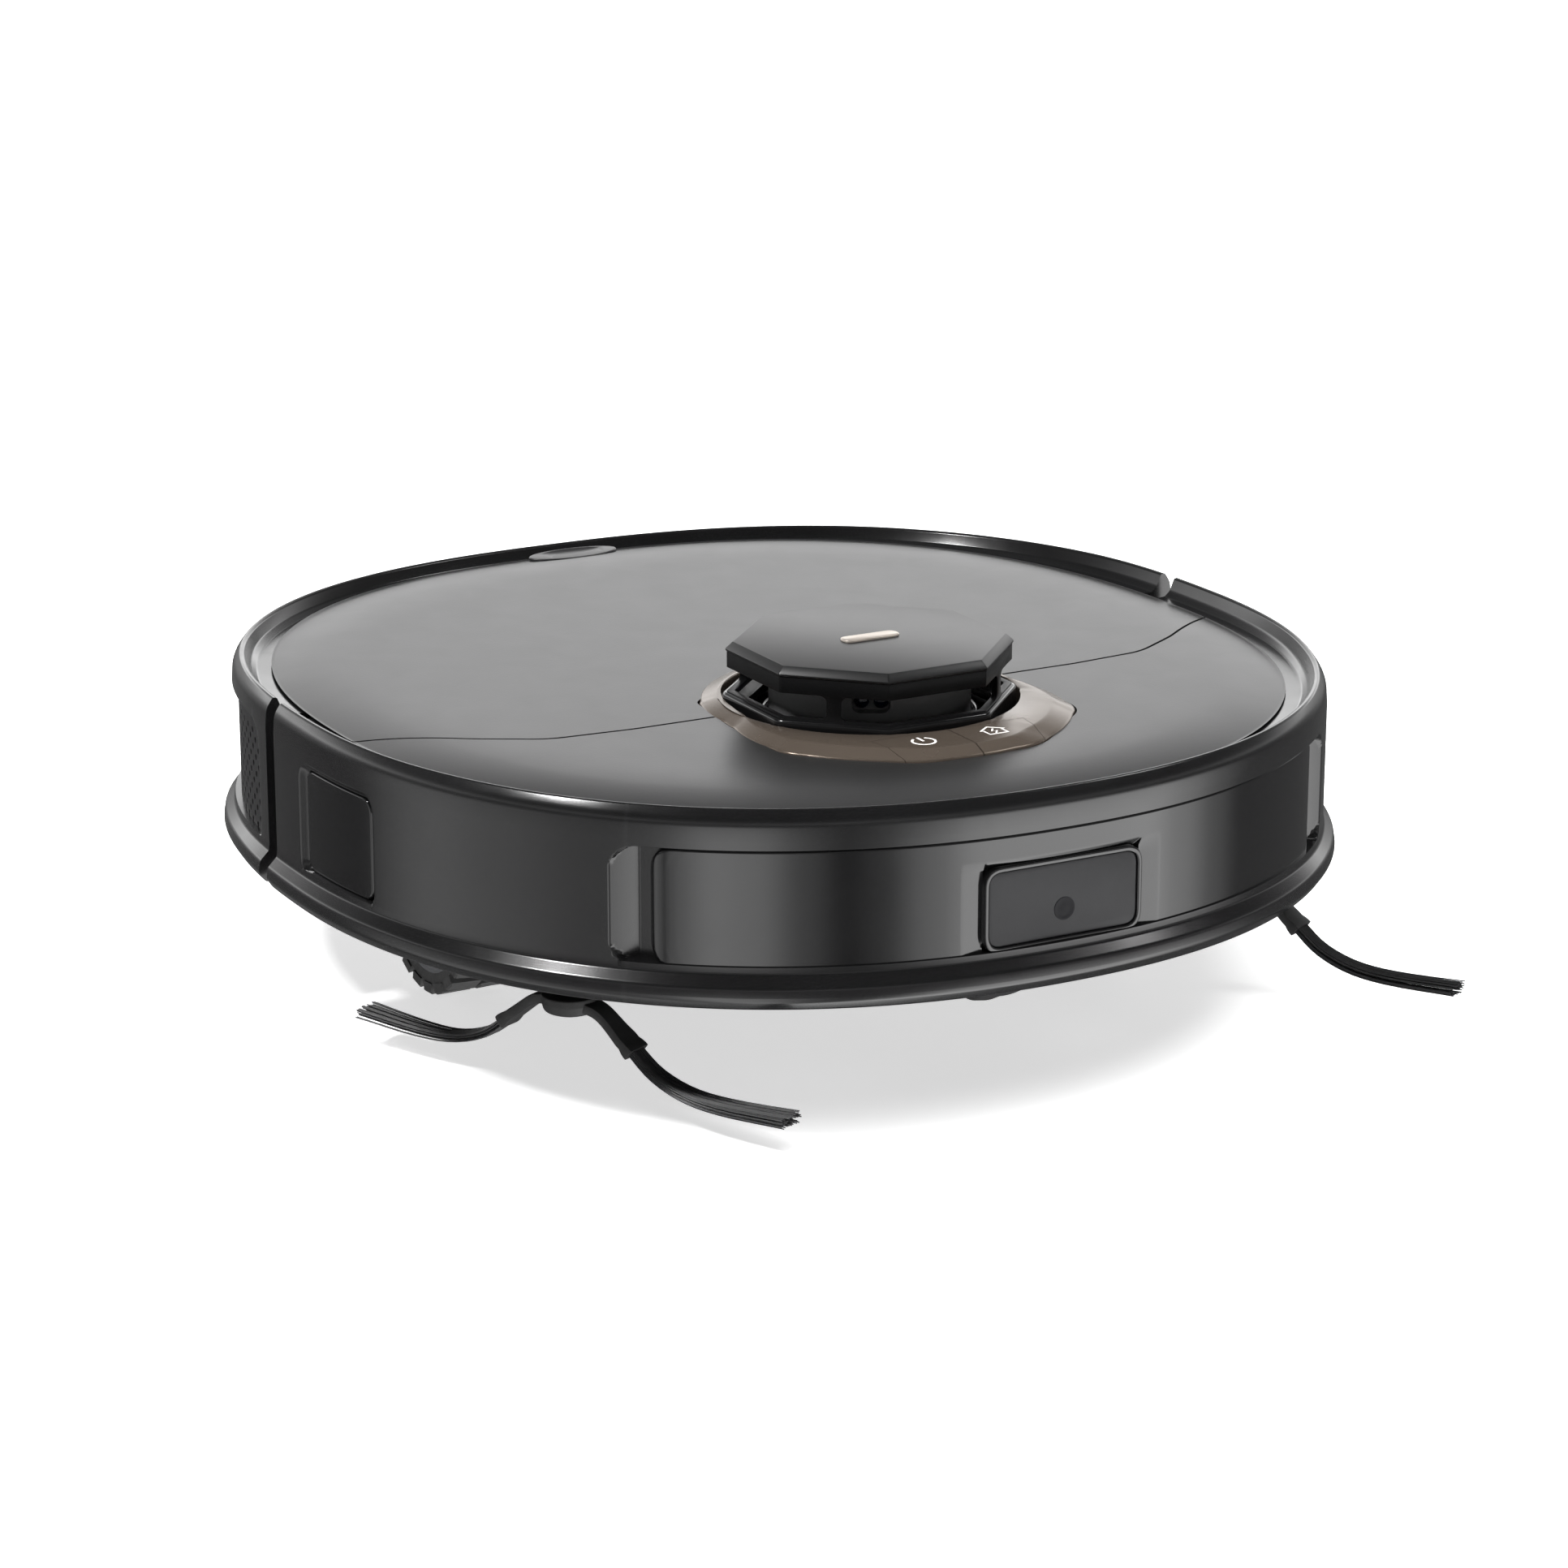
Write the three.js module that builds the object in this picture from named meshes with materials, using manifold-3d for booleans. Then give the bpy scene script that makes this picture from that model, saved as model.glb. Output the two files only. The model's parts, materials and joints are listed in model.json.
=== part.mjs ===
// A robotic floor cleaner: a sprung bumper round the front, a lift-off cover, a spinning distance
// sensor in a pressable turret, two sprung drive wheels, a caster, a main brush and two side brushes.
// Millimetres, +Z up. The front faces -Y, and the robot's right side is -X.
// Heights named "h" are above the floor the robot drives on. The whole robot is then lifted by RIDE,
// because its sprung wheels hang that far below that floor when nothing presses them up.
import * as THREE from 'three';
import { mergeVertices } from 'three/addons/utils/BufferGeometryUtils.js';
import Module from 'manifold-3d';

const wasm = await Module();
wasm.setup();

// ---------------------------------------------------------------- driving dimensions
const RIDE = 23.5; // drop of the hanging wheels
const STEPS = 52; // sides of a full turn of the body shells
const LENGTH_RATIO = 1.03; // the body's half length over its half width
const FRONT_POWER = 2.18; // superellipse power of the front half of the plan
const REAR_POWER = 2.42; // and of the squarer rear half
const GAP = 0.3; // between pieces that touch
const BUMPER_END_Y = 20; // where the bumper stops on each side
const SHELL_START_Y = 27.5; // where the rear shell starts
const CHASSIS_R = 159; // half width of the inner body
const SHELL_INNER_R = 168.5; // inside of the outer shells
const DECK_H = 72.5; // top of the inner body
const FLOOR_H = 13.5; // top of the chassis floor
const UNDERSIDE_H = 11; // bottom of the chassis floor

const TURRET_Y = -58;
const TURRET_APOTHEM = 42.3;
const TURRET_HOLE = 45.2;
const CAP_TOP_H = 99;
const BRUSH_Y = -35; // the main brush
const BRUSH_H = 20.5;
const HUB_X = 121; // the side brushes
const HUB_Y = -88;
const HUB_ANGLES = [-65, 115]; // the two arms of each side brush
const CASTER_Y = -130;
const WHEEL_Y = 23; // a hanging drive wheel
const WHEEL_R = 32;
const WHEEL_H = WHEEL_R - RIDE;
const WHEEL_X = 108; // middle of its width
const WHEEL_WIDTH = 24;
const PIVOT_Y = 71; // the suspension's hinge
const PIVOT_H = 34;
const MOTOR_PULLEY = [44, -86]; // the turret's motor
const WINDOW_H = [31.5, 69]; // the dark window across the front

// ---------------------------------------------------------------- geometry helpers
// A closed three.js geometry becomes a solid: corners are shared, flat triangles dropped, and a
// solid that came out inside out (after a mirror, or from its outline's direction) is turned round.
function solid(source) {
  const geometry = source.clone();
  geometry.deleteAttribute('normal');
  geometry.deleteAttribute('uv');
  const merged = mergeVertices(geometry, 1e-3);
  const corners = merged.attributes.position.array;
  const index = merged.index.array;
  const triangles = [];
  let volume = 0;
  for (let i = 0; i < index.length; i += 3) {
    const [a, b, c] = [index[i], index[i + 1], index[i + 2]];
    if (a === b || b === c || c === a) continue;
    triangles.push(a, b, c);
    const [p, q, s] = [a, b, c].map((k) => new THREE.Vector3().fromArray(corners, 3 * k));
    volume += p.dot(q.cross(s));
  }
  if (volume < 0) triangles.reverse();
  return new wasm.Manifold(new wasm.Mesh({
    numProp: 3,
    vertProperties: Float32Array.from(corners),
    triVerts: Uint32Array.from(triangles),
  }));
}

// The geometry of a finished solid.
function geometryOf(body) {
  const mesh = body.getMesh();
  const geometry = new THREE.BufferGeometry();
  geometry.setAttribute('position', new THREE.BufferAttribute(mesh.vertProperties.slice(), 3));
  geometry.setIndex(new THREE.BufferAttribute(mesh.triVerts.slice(), 1));
  geometry.computeVertexNormals();
  return geometry;
}

const cut = (body, ...tools) => tools.reduce((left, tool) => left.subtract(tool), body);
const join = (body, ...others) => others.reduce((whole, other) => whole.add(other), body);

function box(x0, x1, y0, y1, h0, h1) {
  const geometry = new THREE.BoxGeometry(Math.abs(x1 - x0), y1 - y0, h1 - h0);
  geometry.translate((x0 + x1) / 2, (y0 + y1) / 2, (h0 + h1) / 2);
  return solid(geometry);
}

// An upright cylinder.
function post(x, y, r, h0, h1, sides = 24) {
  const geometry = new THREE.CylinderGeometry(r, r, h1 - h0, sides);
  geometry.rotateX(Math.PI / 2);
  geometry.translate(x, y, (h0 + h1) / 2);
  return solid(geometry);
}

// A cylinder lying along X.
function rod(x0, x1, y, h, r, sides = 24) {
  const geometry = new THREE.CylinderGeometry(r, r, Math.abs(x1 - x0), sides);
  geometry.rotateZ(Math.PI / 2);
  geometry.translate((x0 + x1) / 2, y, h);
  return solid(geometry);
}

// An outline in plan, from h0 to h1.
function plate(outline, h0, h1, curveSegments = 4) {
  const shape = outline instanceof THREE.Shape ? outline : new THREE.Shape(outline);
  const geometry = new THREE.ExtrudeGeometry(shape, { depth: h1 - h0, bevelEnabled: false, curveSegments });
  geometry.translate(0, 0, h0);
  return solid(geometry);
}

const points = (pairs) => pairs.map(([x, y]) => new THREE.Vector2(x, y));

function roundedRect(width, height, radius) {
  const [a, b] = [width / 2, height / 2];
  const shape = new THREE.Shape();
  shape.moveTo(a, -b + radius);
  shape.lineTo(a, b - radius);
  shape.absarc(a - radius, b - radius, radius, 0, Math.PI / 2);
  shape.lineTo(-a + radius, b);
  shape.absarc(-a + radius, b - radius, radius, Math.PI / 2, Math.PI);
  shape.lineTo(-a, -b + radius);
  shape.absarc(-a + radius, -b + radius, radius, Math.PI, 1.5 * Math.PI);
  shape.lineTo(a - radius, -b);
  shape.absarc(a - radius, -b + radius, radius, 1.5 * Math.PI, 2 * Math.PI);
  return shape;
}

// A rounded rectangle seen from the front, running along Y from y0 to y1.
function frontBlock(x, h, width, height, radius, y0, y1) {
  const options = { depth: y1 - y0, bevelEnabled: false, curveSegments: 3 };
  const geometry = new THREE.ExtrudeGeometry(roundedRect(width, height, radius), options);
  geometry.rotateX(Math.PI / 2);
  geometry.translate(x, y1, h);
  return solid(geometry);
}

// The same seen from the side, running along X from x0 to x1.
function sideBlock(y, h, width, height, radius, x0, x1) {
  const options = { depth: Math.abs(x1 - x0), bevelEnabled: false, curveSegments: 3 };
  const geometry = new THREE.ExtrudeGeometry(roundedRect(width, height, radius), options);
  geometry.rotateX(Math.PI / 2);
  geometry.rotateZ(Math.PI / 2);
  geometry.translate(Math.min(x0, x1), y, h);
  return solid(geometry);
}

// An outline of [radius, height] pairs turned about an upright axis.
function lathe(outline, steps = 32) {
  const geometry = new THREE.LatheGeometry(points(outline), steps);
  geometry.rotateX(Math.PI / 2);
  return geometry;
}

// The same turned about a line along X: pairs are [radius, distance along X].
function latheX(outline, steps = 32) {
  const geometry = new THREE.LatheGeometry(points(outline), steps);
  geometry.rotateZ(-Math.PI / 2);
  return geometry;
}

// The body's plan: a circle of radius r pushed out to a superellipse, squarer at the rear.
function squircle(geometry) {
  const position = geometry.attributes.position;
  for (let i = 0; i < position.count; i += 1) {
    const x = position.getX(i);
    const y = position.getY(i);
    const r = Math.hypot(x, y);
    if (r < 1e-6) continue;
    const power = y < 0 ? FRONT_POWER : REAR_POWER;
    const sum = Math.abs(x / r) ** power + Math.abs(y / r) ** power;
    const push = sum ** (-1 / power);
    position.setXY(i, x * push, y * push * LENGTH_RATIO);
  }
  return geometry;
}

const shell = (outline) => solid(squircle(lathe(outline, STEPS)));

// A bar bent to follow a path: size(u) gives its half width and half thickness, for u from 0 to 1,
// and "across" is the direction of its width.
function bentBar(path, across, size, sides, steps) {
  const geometry = new THREE.CylinderGeometry(1, 1, 1, sides, steps);
  const position = geometry.attributes.position;
  for (let i = 0; i < position.count; i += 1) {
    const u = position.getY(i) + 0.5;
    const [halfWidth, halfThickness] = size(u);
    const centre = path.getPoint(u);
    const along = path.getTangent(u);
    const up = new THREE.Vector3().crossVectors(along, across).normalize();
    centre.addScaledVector(across, position.getX(i) * halfWidth);
    centre.addScaledVector(up, position.getZ(i) * halfThickness);
    position.setXYZ(i, centre.x, centre.y, centre.z);
  }
  return geometry;
}

const mirrored = (geometry, side) => geometry.scale(side, 1, 1);

// An open coil of wire along Z, from h0 to h1.
function coil(radius, wire, turns, h0, h1) {
  const spots = [];
  const perTurn = 6;
  for (let i = 0; i <= turns * perTurn; i += 1) {
    const angle = (i / perTurn) * 2 * Math.PI;
    const h = h0 + wire + ((h1 - h0 - 2 * wire) * i) / (turns * perTurn);
    spots.push(new THREE.Vector3(radius * Math.cos(angle), radius * Math.sin(angle), h));
  }
  const section = new THREE.Shape();
  section.absarc(0, 0, wire, 0, 2 * Math.PI);
  const extrudePath = new THREE.CatmullRomCurve3(spots);
  return new THREE.ExtrudeGeometry(section, { steps: turns * perTurn, extrudePath, curveSegments: 3 });
}

function octagon(apothem, y) {
  const corner = apothem / Math.cos(Math.PI / 8);
  return Array.from({ length: 8 }, (_, i) => {
    const angle = ((i + 0.5) * Math.PI) / 4;
    return new THREE.Vector2(corner * Math.cos(angle), y + corner * Math.sin(angle));
  });
}

// ---------------------------------------------------------------- materials
const finish = (color, roughness, metalness = 0) => new THREE.MeshStandardMaterial({
  color, roughness, metalness, flatShading: true,
});
const glossBlack = finish(0x0c0c0d, 0.2);
const satinCover = finish(0x3a3a3b, 0.45, 0.3);
const mattBlack = finish(0x161617, 0.6);
const trimMetal = finish(0x8d7f70, 0.35, 0.8);
const badgeMetal = finish(0xb9aea2, 0.35, 0.8);
const darkGlass = finish(0x08080a, 0.08);
const rubber = finish(0x141414, 0.8);
const bristle = finish(0x1b1b1c, 0.75);
const greyPlastic = finish(0x4c4e52, 0.55);
const boardGreen = finish(0x1d4a33, 0.5);
const springSteel = finish(0x9a9da1, 0.3, 1);
const brassMetal = finish(0xb99a55, 0.3, 1);

// ---------------------------------------------------------------- the assembly
const floorCleaner = new THREE.Group();
const robot = new THREE.Group();
robot.position.z = RIDE;
floorCleaner.add(robot);

function addNode(name, body, material) {
  const mesh = new THREE.Mesh(geometryOf(body), material);
  mesh.name = name;
  robot.add(mesh);
}

const far = 250;
const inFront = (y) => box(-far, far, -far, y, -far, far);
const behind = (y) => box(-far, far, y, far, -far, far);
const sides = [['left', 1], ['right', -1]];

// ---------------------------------------------------------------- outer shells
// One outline serves the bumper and the rear shell: a wall with a lip round its foot, a raised rim,
// and a hollow channel that runs down from the rim to tuck under the covers.
const SHELL_OUTLINE = [
  [SHELL_INNER_R, 20.6], [170, 20.2], [173, 20.8], [174.6, 22.6], [175, 25], [174.2, 27.8], [171.3, 31],
  [171, 33], [171, 72], [170, 77], [168.6, 80.2], [167.3, 81], [165.9, 79.6], [164.8, 76.2], [163.2, 74.6],
  [155, 74.4], [155, 73], [163, 73], [SHELL_INNER_R, 71.5], [SHELL_INNER_R, 20.6],
];
const fullShell = shell(SHELL_OUTLINE);

const windowMiddle = (WINDOW_H[0] + WINDOW_H[1]) / 2;
const windowHeight = WINDOW_H[1] - WINDOW_H[0];
const WINDOW_WIDTH = 242;
const windowHole = frontBlock(0, windowMiddle, WINDOW_WIDTH, windowHeight, 8, -far, -100);
const SENSOR_Y = -24; // the wall sensor, on the right side only
const SENSOR_H = 49.5;
const sensorHole = sideBlock(SENSOR_Y, SENSOR_H, 42, 33, 5, -far, -100);
addNode('bumper', cut(fullShell.intersect(inFront(BUMPER_END_Y)), windowHole, sensorHole), glossBlack);

// The dark window, set back from the wall, with an opening for the camera.
const WINDOW_R = [167, 170.3];
const windowRing = shell([
  [WINDOW_R[0], 28], [WINDOW_R[1], 28], [WINDOW_R[1], 73], [WINDOW_R[0], 73], [WINDOW_R[0], 28],
]);
const CAMERA = { width: 55, height: 26.5, h: 45.8, radius: 6 };
const windowBlank = frontBlock(
  0, windowMiddle, WINDOW_WIDTH - 2 * GAP, windowHeight - 2 * GAP, 8, -far, -100,
);
const cameraHole = frontBlock(
  0, CAMERA.h, CAMERA.width + 2 * GAP, CAMERA.height + 2 * GAP, CAMERA.radius, -far, -100,
);
addNode('front_window', cut(windowRing.intersect(windowBlank), cameraHole), darkGlass);
addNode(
  'camera_module',
  frontBlock(0, CAMERA.h, CAMERA.width, CAMERA.height, CAMERA.radius, -174.5, -169.6),
  glossBlack,
);
const sensorRing = shell([[167.2, 28], [169.4, 28], [169.4, 73], [167.2, 73], [167.2, 28]]);
const sensorBlank = sideBlock(SENSOR_Y, SENSOR_H, 42 - 2 * GAP, 33 - 2 * GAP, 5, -far, -100);
addNode('wall_sensor_window', sensorRing.intersect(sensorBlank), darkGlass);

// The rear shell, with a window on each side for a perforated grille.
const GRILLE = { y: 78, h: 49.5, width: 80, height: 41, radius: 9 };
function grilleBlock(side, inset) {
  const width = GRILLE.width - 2 * inset;
  const height = GRILLE.height - 2 * inset;
  return sideBlock(GRILLE.y, GRILLE.h, width, height, GRILLE.radius, side * 100, side * far);
}
const rearRing = fullShell.intersect(behind(SHELL_START_Y));
addNode('rear_shell', cut(rearRing, grilleBlock(1, 0), grilleBlock(-1, 0)), glossBlack);

const grilleRing = shell([[167, 28], [169.2, 28], [169.2, 73], [167, 73], [167, 28]]);
const HOLES = { columns: 5, rows: 3, pitchY: 14, pitchH: 11, radius: 2.4 };
for (const [name, side] of sides) {
  let panel = grilleRing.intersect(grilleBlock(side, GAP));
  for (let row = 0; row < HOLES.rows; row += 1) {
    for (let column = 0; column < HOLES.columns; column += 1) {
      const stagger = (row % 2) * (HOLES.pitchY / 2) - HOLES.pitchY / 4;
      const y = GRILLE.y + (column - (HOLES.columns - 1) / 2) * HOLES.pitchY + stagger;
      const h = GRILLE.h + (row - (HOLES.rows - 1) / 2) * HOLES.pitchH;
      panel = cut(panel, rod(side * 100, side * far, y, h, HOLES.radius, 5));
    }
  }
  addNode(`exhaust_grille_${name}`, panel, mattBlack);
}

// ---------------------------------------------------------------- covers and trim
// The trim is a long octagon round the turret. Its plan is mirrored from these right-hand corners.
const TRIM_HALF = [
  [12, -126.8], [24, -122.3], [37, -112.6], [47, -102.8], [52, -93], [53, -74], [49.2, -36], [18, -5],
];
function trimOutline(grow) {
  const half = TRIM_HALF.map(([x, y]) => {
    const reach = (y - TURRET_Y) > 0 ? 1 : -1;
    return [x + grow, y + grow * 0.9 * reach];
  });
  return points([...half, ...half.slice().reverse().map(([x, y]) => [-x, y])]);
}
const TRIM_TOP_H = 81;
const TRIM_FOOT_H = 74.6;
const bevel = { bevelEnabled: true, bevelThickness: 1.8, bevelSize: 4, bevelOffset: -4, bevelSegments: 1 };
const trimDepth = TRIM_TOP_H - TRIM_FOOT_H - bevel.bevelThickness;
const trimShape = new THREE.Shape(trimOutline(0));
const trimGeometry = new THREE.ExtrudeGeometry(trimShape, { depth: trimDepth, ...bevel });
trimGeometry.translate(0, 0, TRIM_FOOT_H);
const trimBlank = solid(trimGeometry).intersect(box(-far, far, -far, far, TRIM_FOOT_H, far));
const turretHole = plate(octagon(TURRET_HOLE, TURRET_Y), 0, far);

// Two keys, side by side across the front of the trim.
const KEY = { back: -106.3, width: 27, frontWidth: 22.4, front: -128, slit: 0.25, foot: 76 };
function keyOutline(side, grow) {
  return points([
    [side * (KEY.slit - grow), KEY.back + grow], [side * (KEY.width + grow), KEY.back + grow],
    [side * (KEY.frontWidth + grow), KEY.front], [side * (KEY.slit - grow), KEY.front],
  ]);
}
const keyHole = (side) => plate(keyOutline(side, GAP), 0, far);
addNode('trim_bezel', cut(trimBlank, turretHole, keyHole(1), keyHole(-1)), trimMetal);
const keyRoom = box(-far, far, -far, far, KEY.foot, far);
for (const [name, side] of [['home_button', 1], ['power_button', -1]]) {
  addNode(name, trimBlank.intersect(plate(keyOutline(side, 0), 0, far)).intersect(keyRoom), trimMetal);
}

// The two covers share one domed skin, parted by a seam that turns forward at its ends.
const COVER_OUTLINE = [
  [0, 79], [60, 78.9], [112, 78.2], [142, 77.4], [154, 76.7], [157.2, 75.9], [158, 74.9],
  [155.5, 74.8], [142, 75.4], [112, 76.2], [60, 76.9], [0, 77],
];
const SEAM = [
  [0, -53.5], [88, -51.2], [104, -48.8], [114, -45.3], [125, -38.5], [141, -25.5], [155, -14.5], [230, 45],
];
function seamSide(rear) {
  const shift = rear ? 0.4 : -0.4;
  const right = SEAM.map(([x, y]) => [x, y + shift]);
  const left = right.slice(1).reverse().map(([x, y]) => [-x, y]);
  const edge = rear ? far : -far;
  return plate(points([...left, ...right, [230, edge], [-230, edge]]), 0, far);
}
// Behind the middle, the skin reaches out towards the rim by up to REAR_REACH, and rises to meet it.
const REAR_REACH = 4.5;
const REAR_RISE = 1.5;
const COVER_HALF_LENGTH = 158 * LENGTH_RATIO;
function coverBlank() {
  const geometry = squircle(lathe(COVER_OUTLINE, STEPS));
  const position = geometry.attributes.position;
  for (let i = 0; i < position.count; i += 1) {
    const back = (Math.max(0, position.getY(i)) / COVER_HALF_LENGTH) ** 2;
    position.setY(i, position.getY(i) + REAR_REACH * back);
    position.setZ(i, position.getZ(i) + REAR_RISE * back);
  }
  return solid(geometry);
}
// A thin lip with a dish in it, at the rear edge, to lift the cover by.
const PULL = { x: 4, y: 162.3, halfWidth: 17, depth: 6.8, foot: 77.4, top: 78.6 };
const pullLip = new THREE.CylinderGeometry(1, 1, 1, 28);
pullLip.rotateX(Math.PI / 2);
pullLip.scale(PULL.halfWidth, PULL.depth, PULL.top - PULL.foot);
pullLip.translate(PULL.x, PULL.y, (PULL.top + PULL.foot) / 2);
const pullDish = new THREE.SphereGeometry(1, 24, 12);
pullDish.scale(PULL.halfWidth - 3, 4.2, 1.6);
pullDish.translate(PULL.x, PULL.y + 2, PULL.top + 0.8);

const coverSkin = cut(coverBlank(), plate(trimOutline(0.5), 0, far));
addNode('front_cover', coverSkin.intersect(seamSide(false)), satinCover);
const rearSkin = join(coverSkin.intersect(seamSide(true)), solid(pullLip));
addNode('rear_cover', cut(rearSkin, solid(pullDish)), satinCover);

// ---------------------------------------------------------------- inner body
// The chassis tray: a flat floor with a raised edge, widened to a rim under the rear shell.
const CHASSIS_OUTLINE = [
  [0, UNDERSIDE_H], [140, UNDERSIDE_H], [CHASSIS_R, 18], [168.2, 18.2], [168.2, 19.8], [CHASSIS_R, 19.8],
  [CHASSIS_R, 40], [156.5, 40], [156.5, 18.5], [143.5, FLOOR_H], [0, FLOOR_H],
];
const frontTrim = cut(
  box(-far, far, -far, SHELL_START_Y, 0, 60),
  shell([[0, -10], [CHASSIS_R, -10], [CHASSIS_R, 90], [0, 90]]),
);
let chassis = cut(shell(CHASSIS_OUTLINE), frontTrim);

const WELL = { inner: 95, outer: 122.5, front: WHEEL_Y - 40, rear: WHEEL_Y + 38 };
const ARM = { inner: 81, outer: 94.5, slotFront: WHEEL_Y - 22, slotRear: WHEEL_Y + 39, pinR: 3 };
const EARS = [[75.5, 79.5], [96, 100]];
for (const [, side] of sides) {
  for (const [x0, x1] of EARS) {
    const ear = box(side * x0, side * x1, PIVOT_Y - 8, PIVOT_Y + 8, UNDERSIDE_H + 1, PIVOT_H + 8);
    chassis = join(chassis, ear);
  }
  chassis = cut(
    chassis,
    box(side * WELL.inner, side * WELL.outer, WELL.front, WELL.rear, 0, FLOOR_H + 2),
    box(side * 79.6, side * 95.9, ARM.slotFront, ARM.slotRear, 0, FLOOR_H + 2),
    rod(side * 71, side * 103, PIVOT_Y, PIVOT_H, ARM.pinR + 0.3, 16),
    post(side * HUB_X, HUB_Y, 5, 0, 20),
  );
}
chassis = cut(
  chassis,
  box(-80, 80, BRUSH_Y - 22, BRUSH_Y + 22, 0, FLOOR_H + 1),
  post(0, CASTER_Y, 19.5, 0, FLOOR_H + 1, 32),
);

// Sensors that watch for stair edges, and the two charging contacts, sit in pockets underneath.
const CLIFF_SENSORS = [
  ['cliff_sensor_front_left', 98, -127], ['cliff_sensor_front_right', -98, -127],
  ['cliff_sensor_side_left', 149, -25], ['cliff_sensor_side_right', -149, -25],
];
for (const [name, x, y] of CLIFF_SENSORS) {
  const across = Math.abs(x) > 120 ? [5, 9] : [9, 5];
  chassis = cut(chassis, box(x - across[0], x + across[0], y - across[1], y + across[1], 0, 30));
  const [a, b] = [across[0] - GAP, across[1] - GAP];
  addNode(name, box(x - a, x + a, y - b, y + b, UNDERSIDE_H - 0.5, 17.5), darkGlass);
}
for (const [name, side] of sides) {
  const [x0, x1] = [side * 46, side * 54];
  chassis = cut(chassis, box(x0, x1, -137, -113, 0, UNDERSIDE_H + 1.5));
  const contact = box(x0 + side * GAP, x1 - side * GAP, -136.7, -113.3, UNDERSIDE_H - 0.4, UNDERSIDE_H + 1.2);
  addNode(`charging_contact_${name}`, contact, springSteel);
}
addNode('chassis_base', chassis, mattBlack);

// The deck closes the inner body. Its openings are for the turret's drive and the dust bin.
const DECK_OUTLINE = [
  [0, DECK_H], [CHASSIS_R, DECK_H], [CHASSIS_R, 40.3], [156.5, 40.3], [156.5, 70], [0, 70],
];
// A disc round the turret and a smaller one round its motor, joined by straight sides.
function driveOutline(bigR, smallR) {
  const [mx, my] = [MOTOR_PULLEY[0], MOTOR_PULLEY[1] - TURRET_Y];
  const aim = Math.atan2(my, mx);
  const spread = Math.acos((bigR - smallR) / Math.hypot(mx, my));
  const shape = new THREE.Shape();
  shape.absarc(0, TURRET_Y, bigR, aim + spread, aim - spread + 2 * Math.PI);
  shape.absarc(mx, TURRET_Y + my, smallR, aim - spread, aim + spread);
  return shape;
}
const ROTOR_R = 32;
const deckHole = plate(driveOutline(36.5, 9), 0, far);
const BIN = { x: 62, front: 30, rear: 143, foot: 15, top: 69 };
const binHole = box(-BIN.x - 1, BIN.x + 1, BIN.front - 1, BIN.rear + 1, 60, 90);
addNode('top_deck', cut(shell(DECK_OUTLINE), deckHole, binHole), mattBlack);

addNode('battery_pack', box(-68, 68, -107, -63, 14, 57), greyPlastic);
const chips = [[-50, 0, 14, 12], [-20, 6, 16, 16], [12, 2, 20, 10], [48, 8, 12, 18]];
const board = chips.reduce(
  (whole, [x, y, w, d]) => join(whole, box(x - w / 2, x + w / 2, y - d / 2, y + d / 2, 59, 62)),
  box(-76, 76, -10, 26, 57.6, 59.2),
);
addNode('main_board', board, boardGreen);

// ---------------------------------------------------------------- suction path
// The brush housing is an arch over the main brush, with a duct back to the bin.
const HOUSING = { x: 82, inner: 79.5, front: BRUSH_Y - 24, rear: BRUSH_Y + 24, foot: 13.8, top: 46 };
const DUCT = { x: 35, foot: 27, top: 41, wall: 2 };
let housing = join(
  box(-HOUSING.x, HOUSING.x, HOUSING.front, HOUSING.rear, HOUSING.foot, HOUSING.top),
  box(-DUCT.x - 2, DUCT.x + 2, -20, BIN.front - GAP, DUCT.foot - 2, DUCT.top + 2),
);
housing = cut(
  housing,
  rod(-HOUSING.inner, HOUSING.inner, BRUSH_Y, BRUSH_H, 22.5, 32),
  box(-HOUSING.inner, HOUSING.inner, BRUSH_Y - 22, BRUSH_Y + 22, 10, BRUSH_H),
  box(-DUCT.x, DUCT.x, -32, BIN.front, DUCT.foot, DUCT.top),
  rod(-HOUSING.x, HOUSING.x, BRUSH_Y, BRUSH_H, 3.3, 16),
);
addNode('brush_housing', housing, mattBlack);
const guard = cut(
  box(-87, 87, BRUSH_Y - 27, BRUSH_Y + 27, 8.2, UNDERSIDE_H - GAP),
  box(-79, 79, BRUSH_Y - 21.5, BRUSH_Y + 21.5, 0, 20),
);
addNode('brush_guard', guard, mattBlack);
addNode('brush_motor', box(83, 103, -60, -37, 14, 42), greyPlastic);

const bin = cut(
  box(-BIN.x, BIN.x, BIN.front, BIN.rear, BIN.foot, BIN.top),
  box(-BIN.x + 2, BIN.x - 2, BIN.front + 2, BIN.rear - 2, BIN.foot + 2, BIN.top - 2),
  box(-DUCT.x, DUCT.x, BIN.front - 1, BIN.front + 3, DUCT.foot, DUCT.top),
  box(BIN.x - 3, BIN.x + 1, 79, 117, 24, 60),
);
addNode('dust_bin', bin, greyPlastic);
let filter = box(BIN.x + GAP, BIN.x + 7, 76, 120, 21, 63);
for (let i = 0; i < 6; i += 1) {
  filter = cut(filter, box(BIN.x + 4, BIN.x + 8, 81.5 + 6 * i, 84.5 + 6 * i, 25, 59));
}
addNode('dust_filter', filter, greyPlastic);
const fanOutline = [[0, 20], [22, 20], [24, 22], [24, 50], [22, 52], [12, 52], [10, 48], [0, 48]];
addNode('suction_fan', solid(lathe(fanOutline, 20).translate(95, 106.8, 0)), mattBlack);

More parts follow.
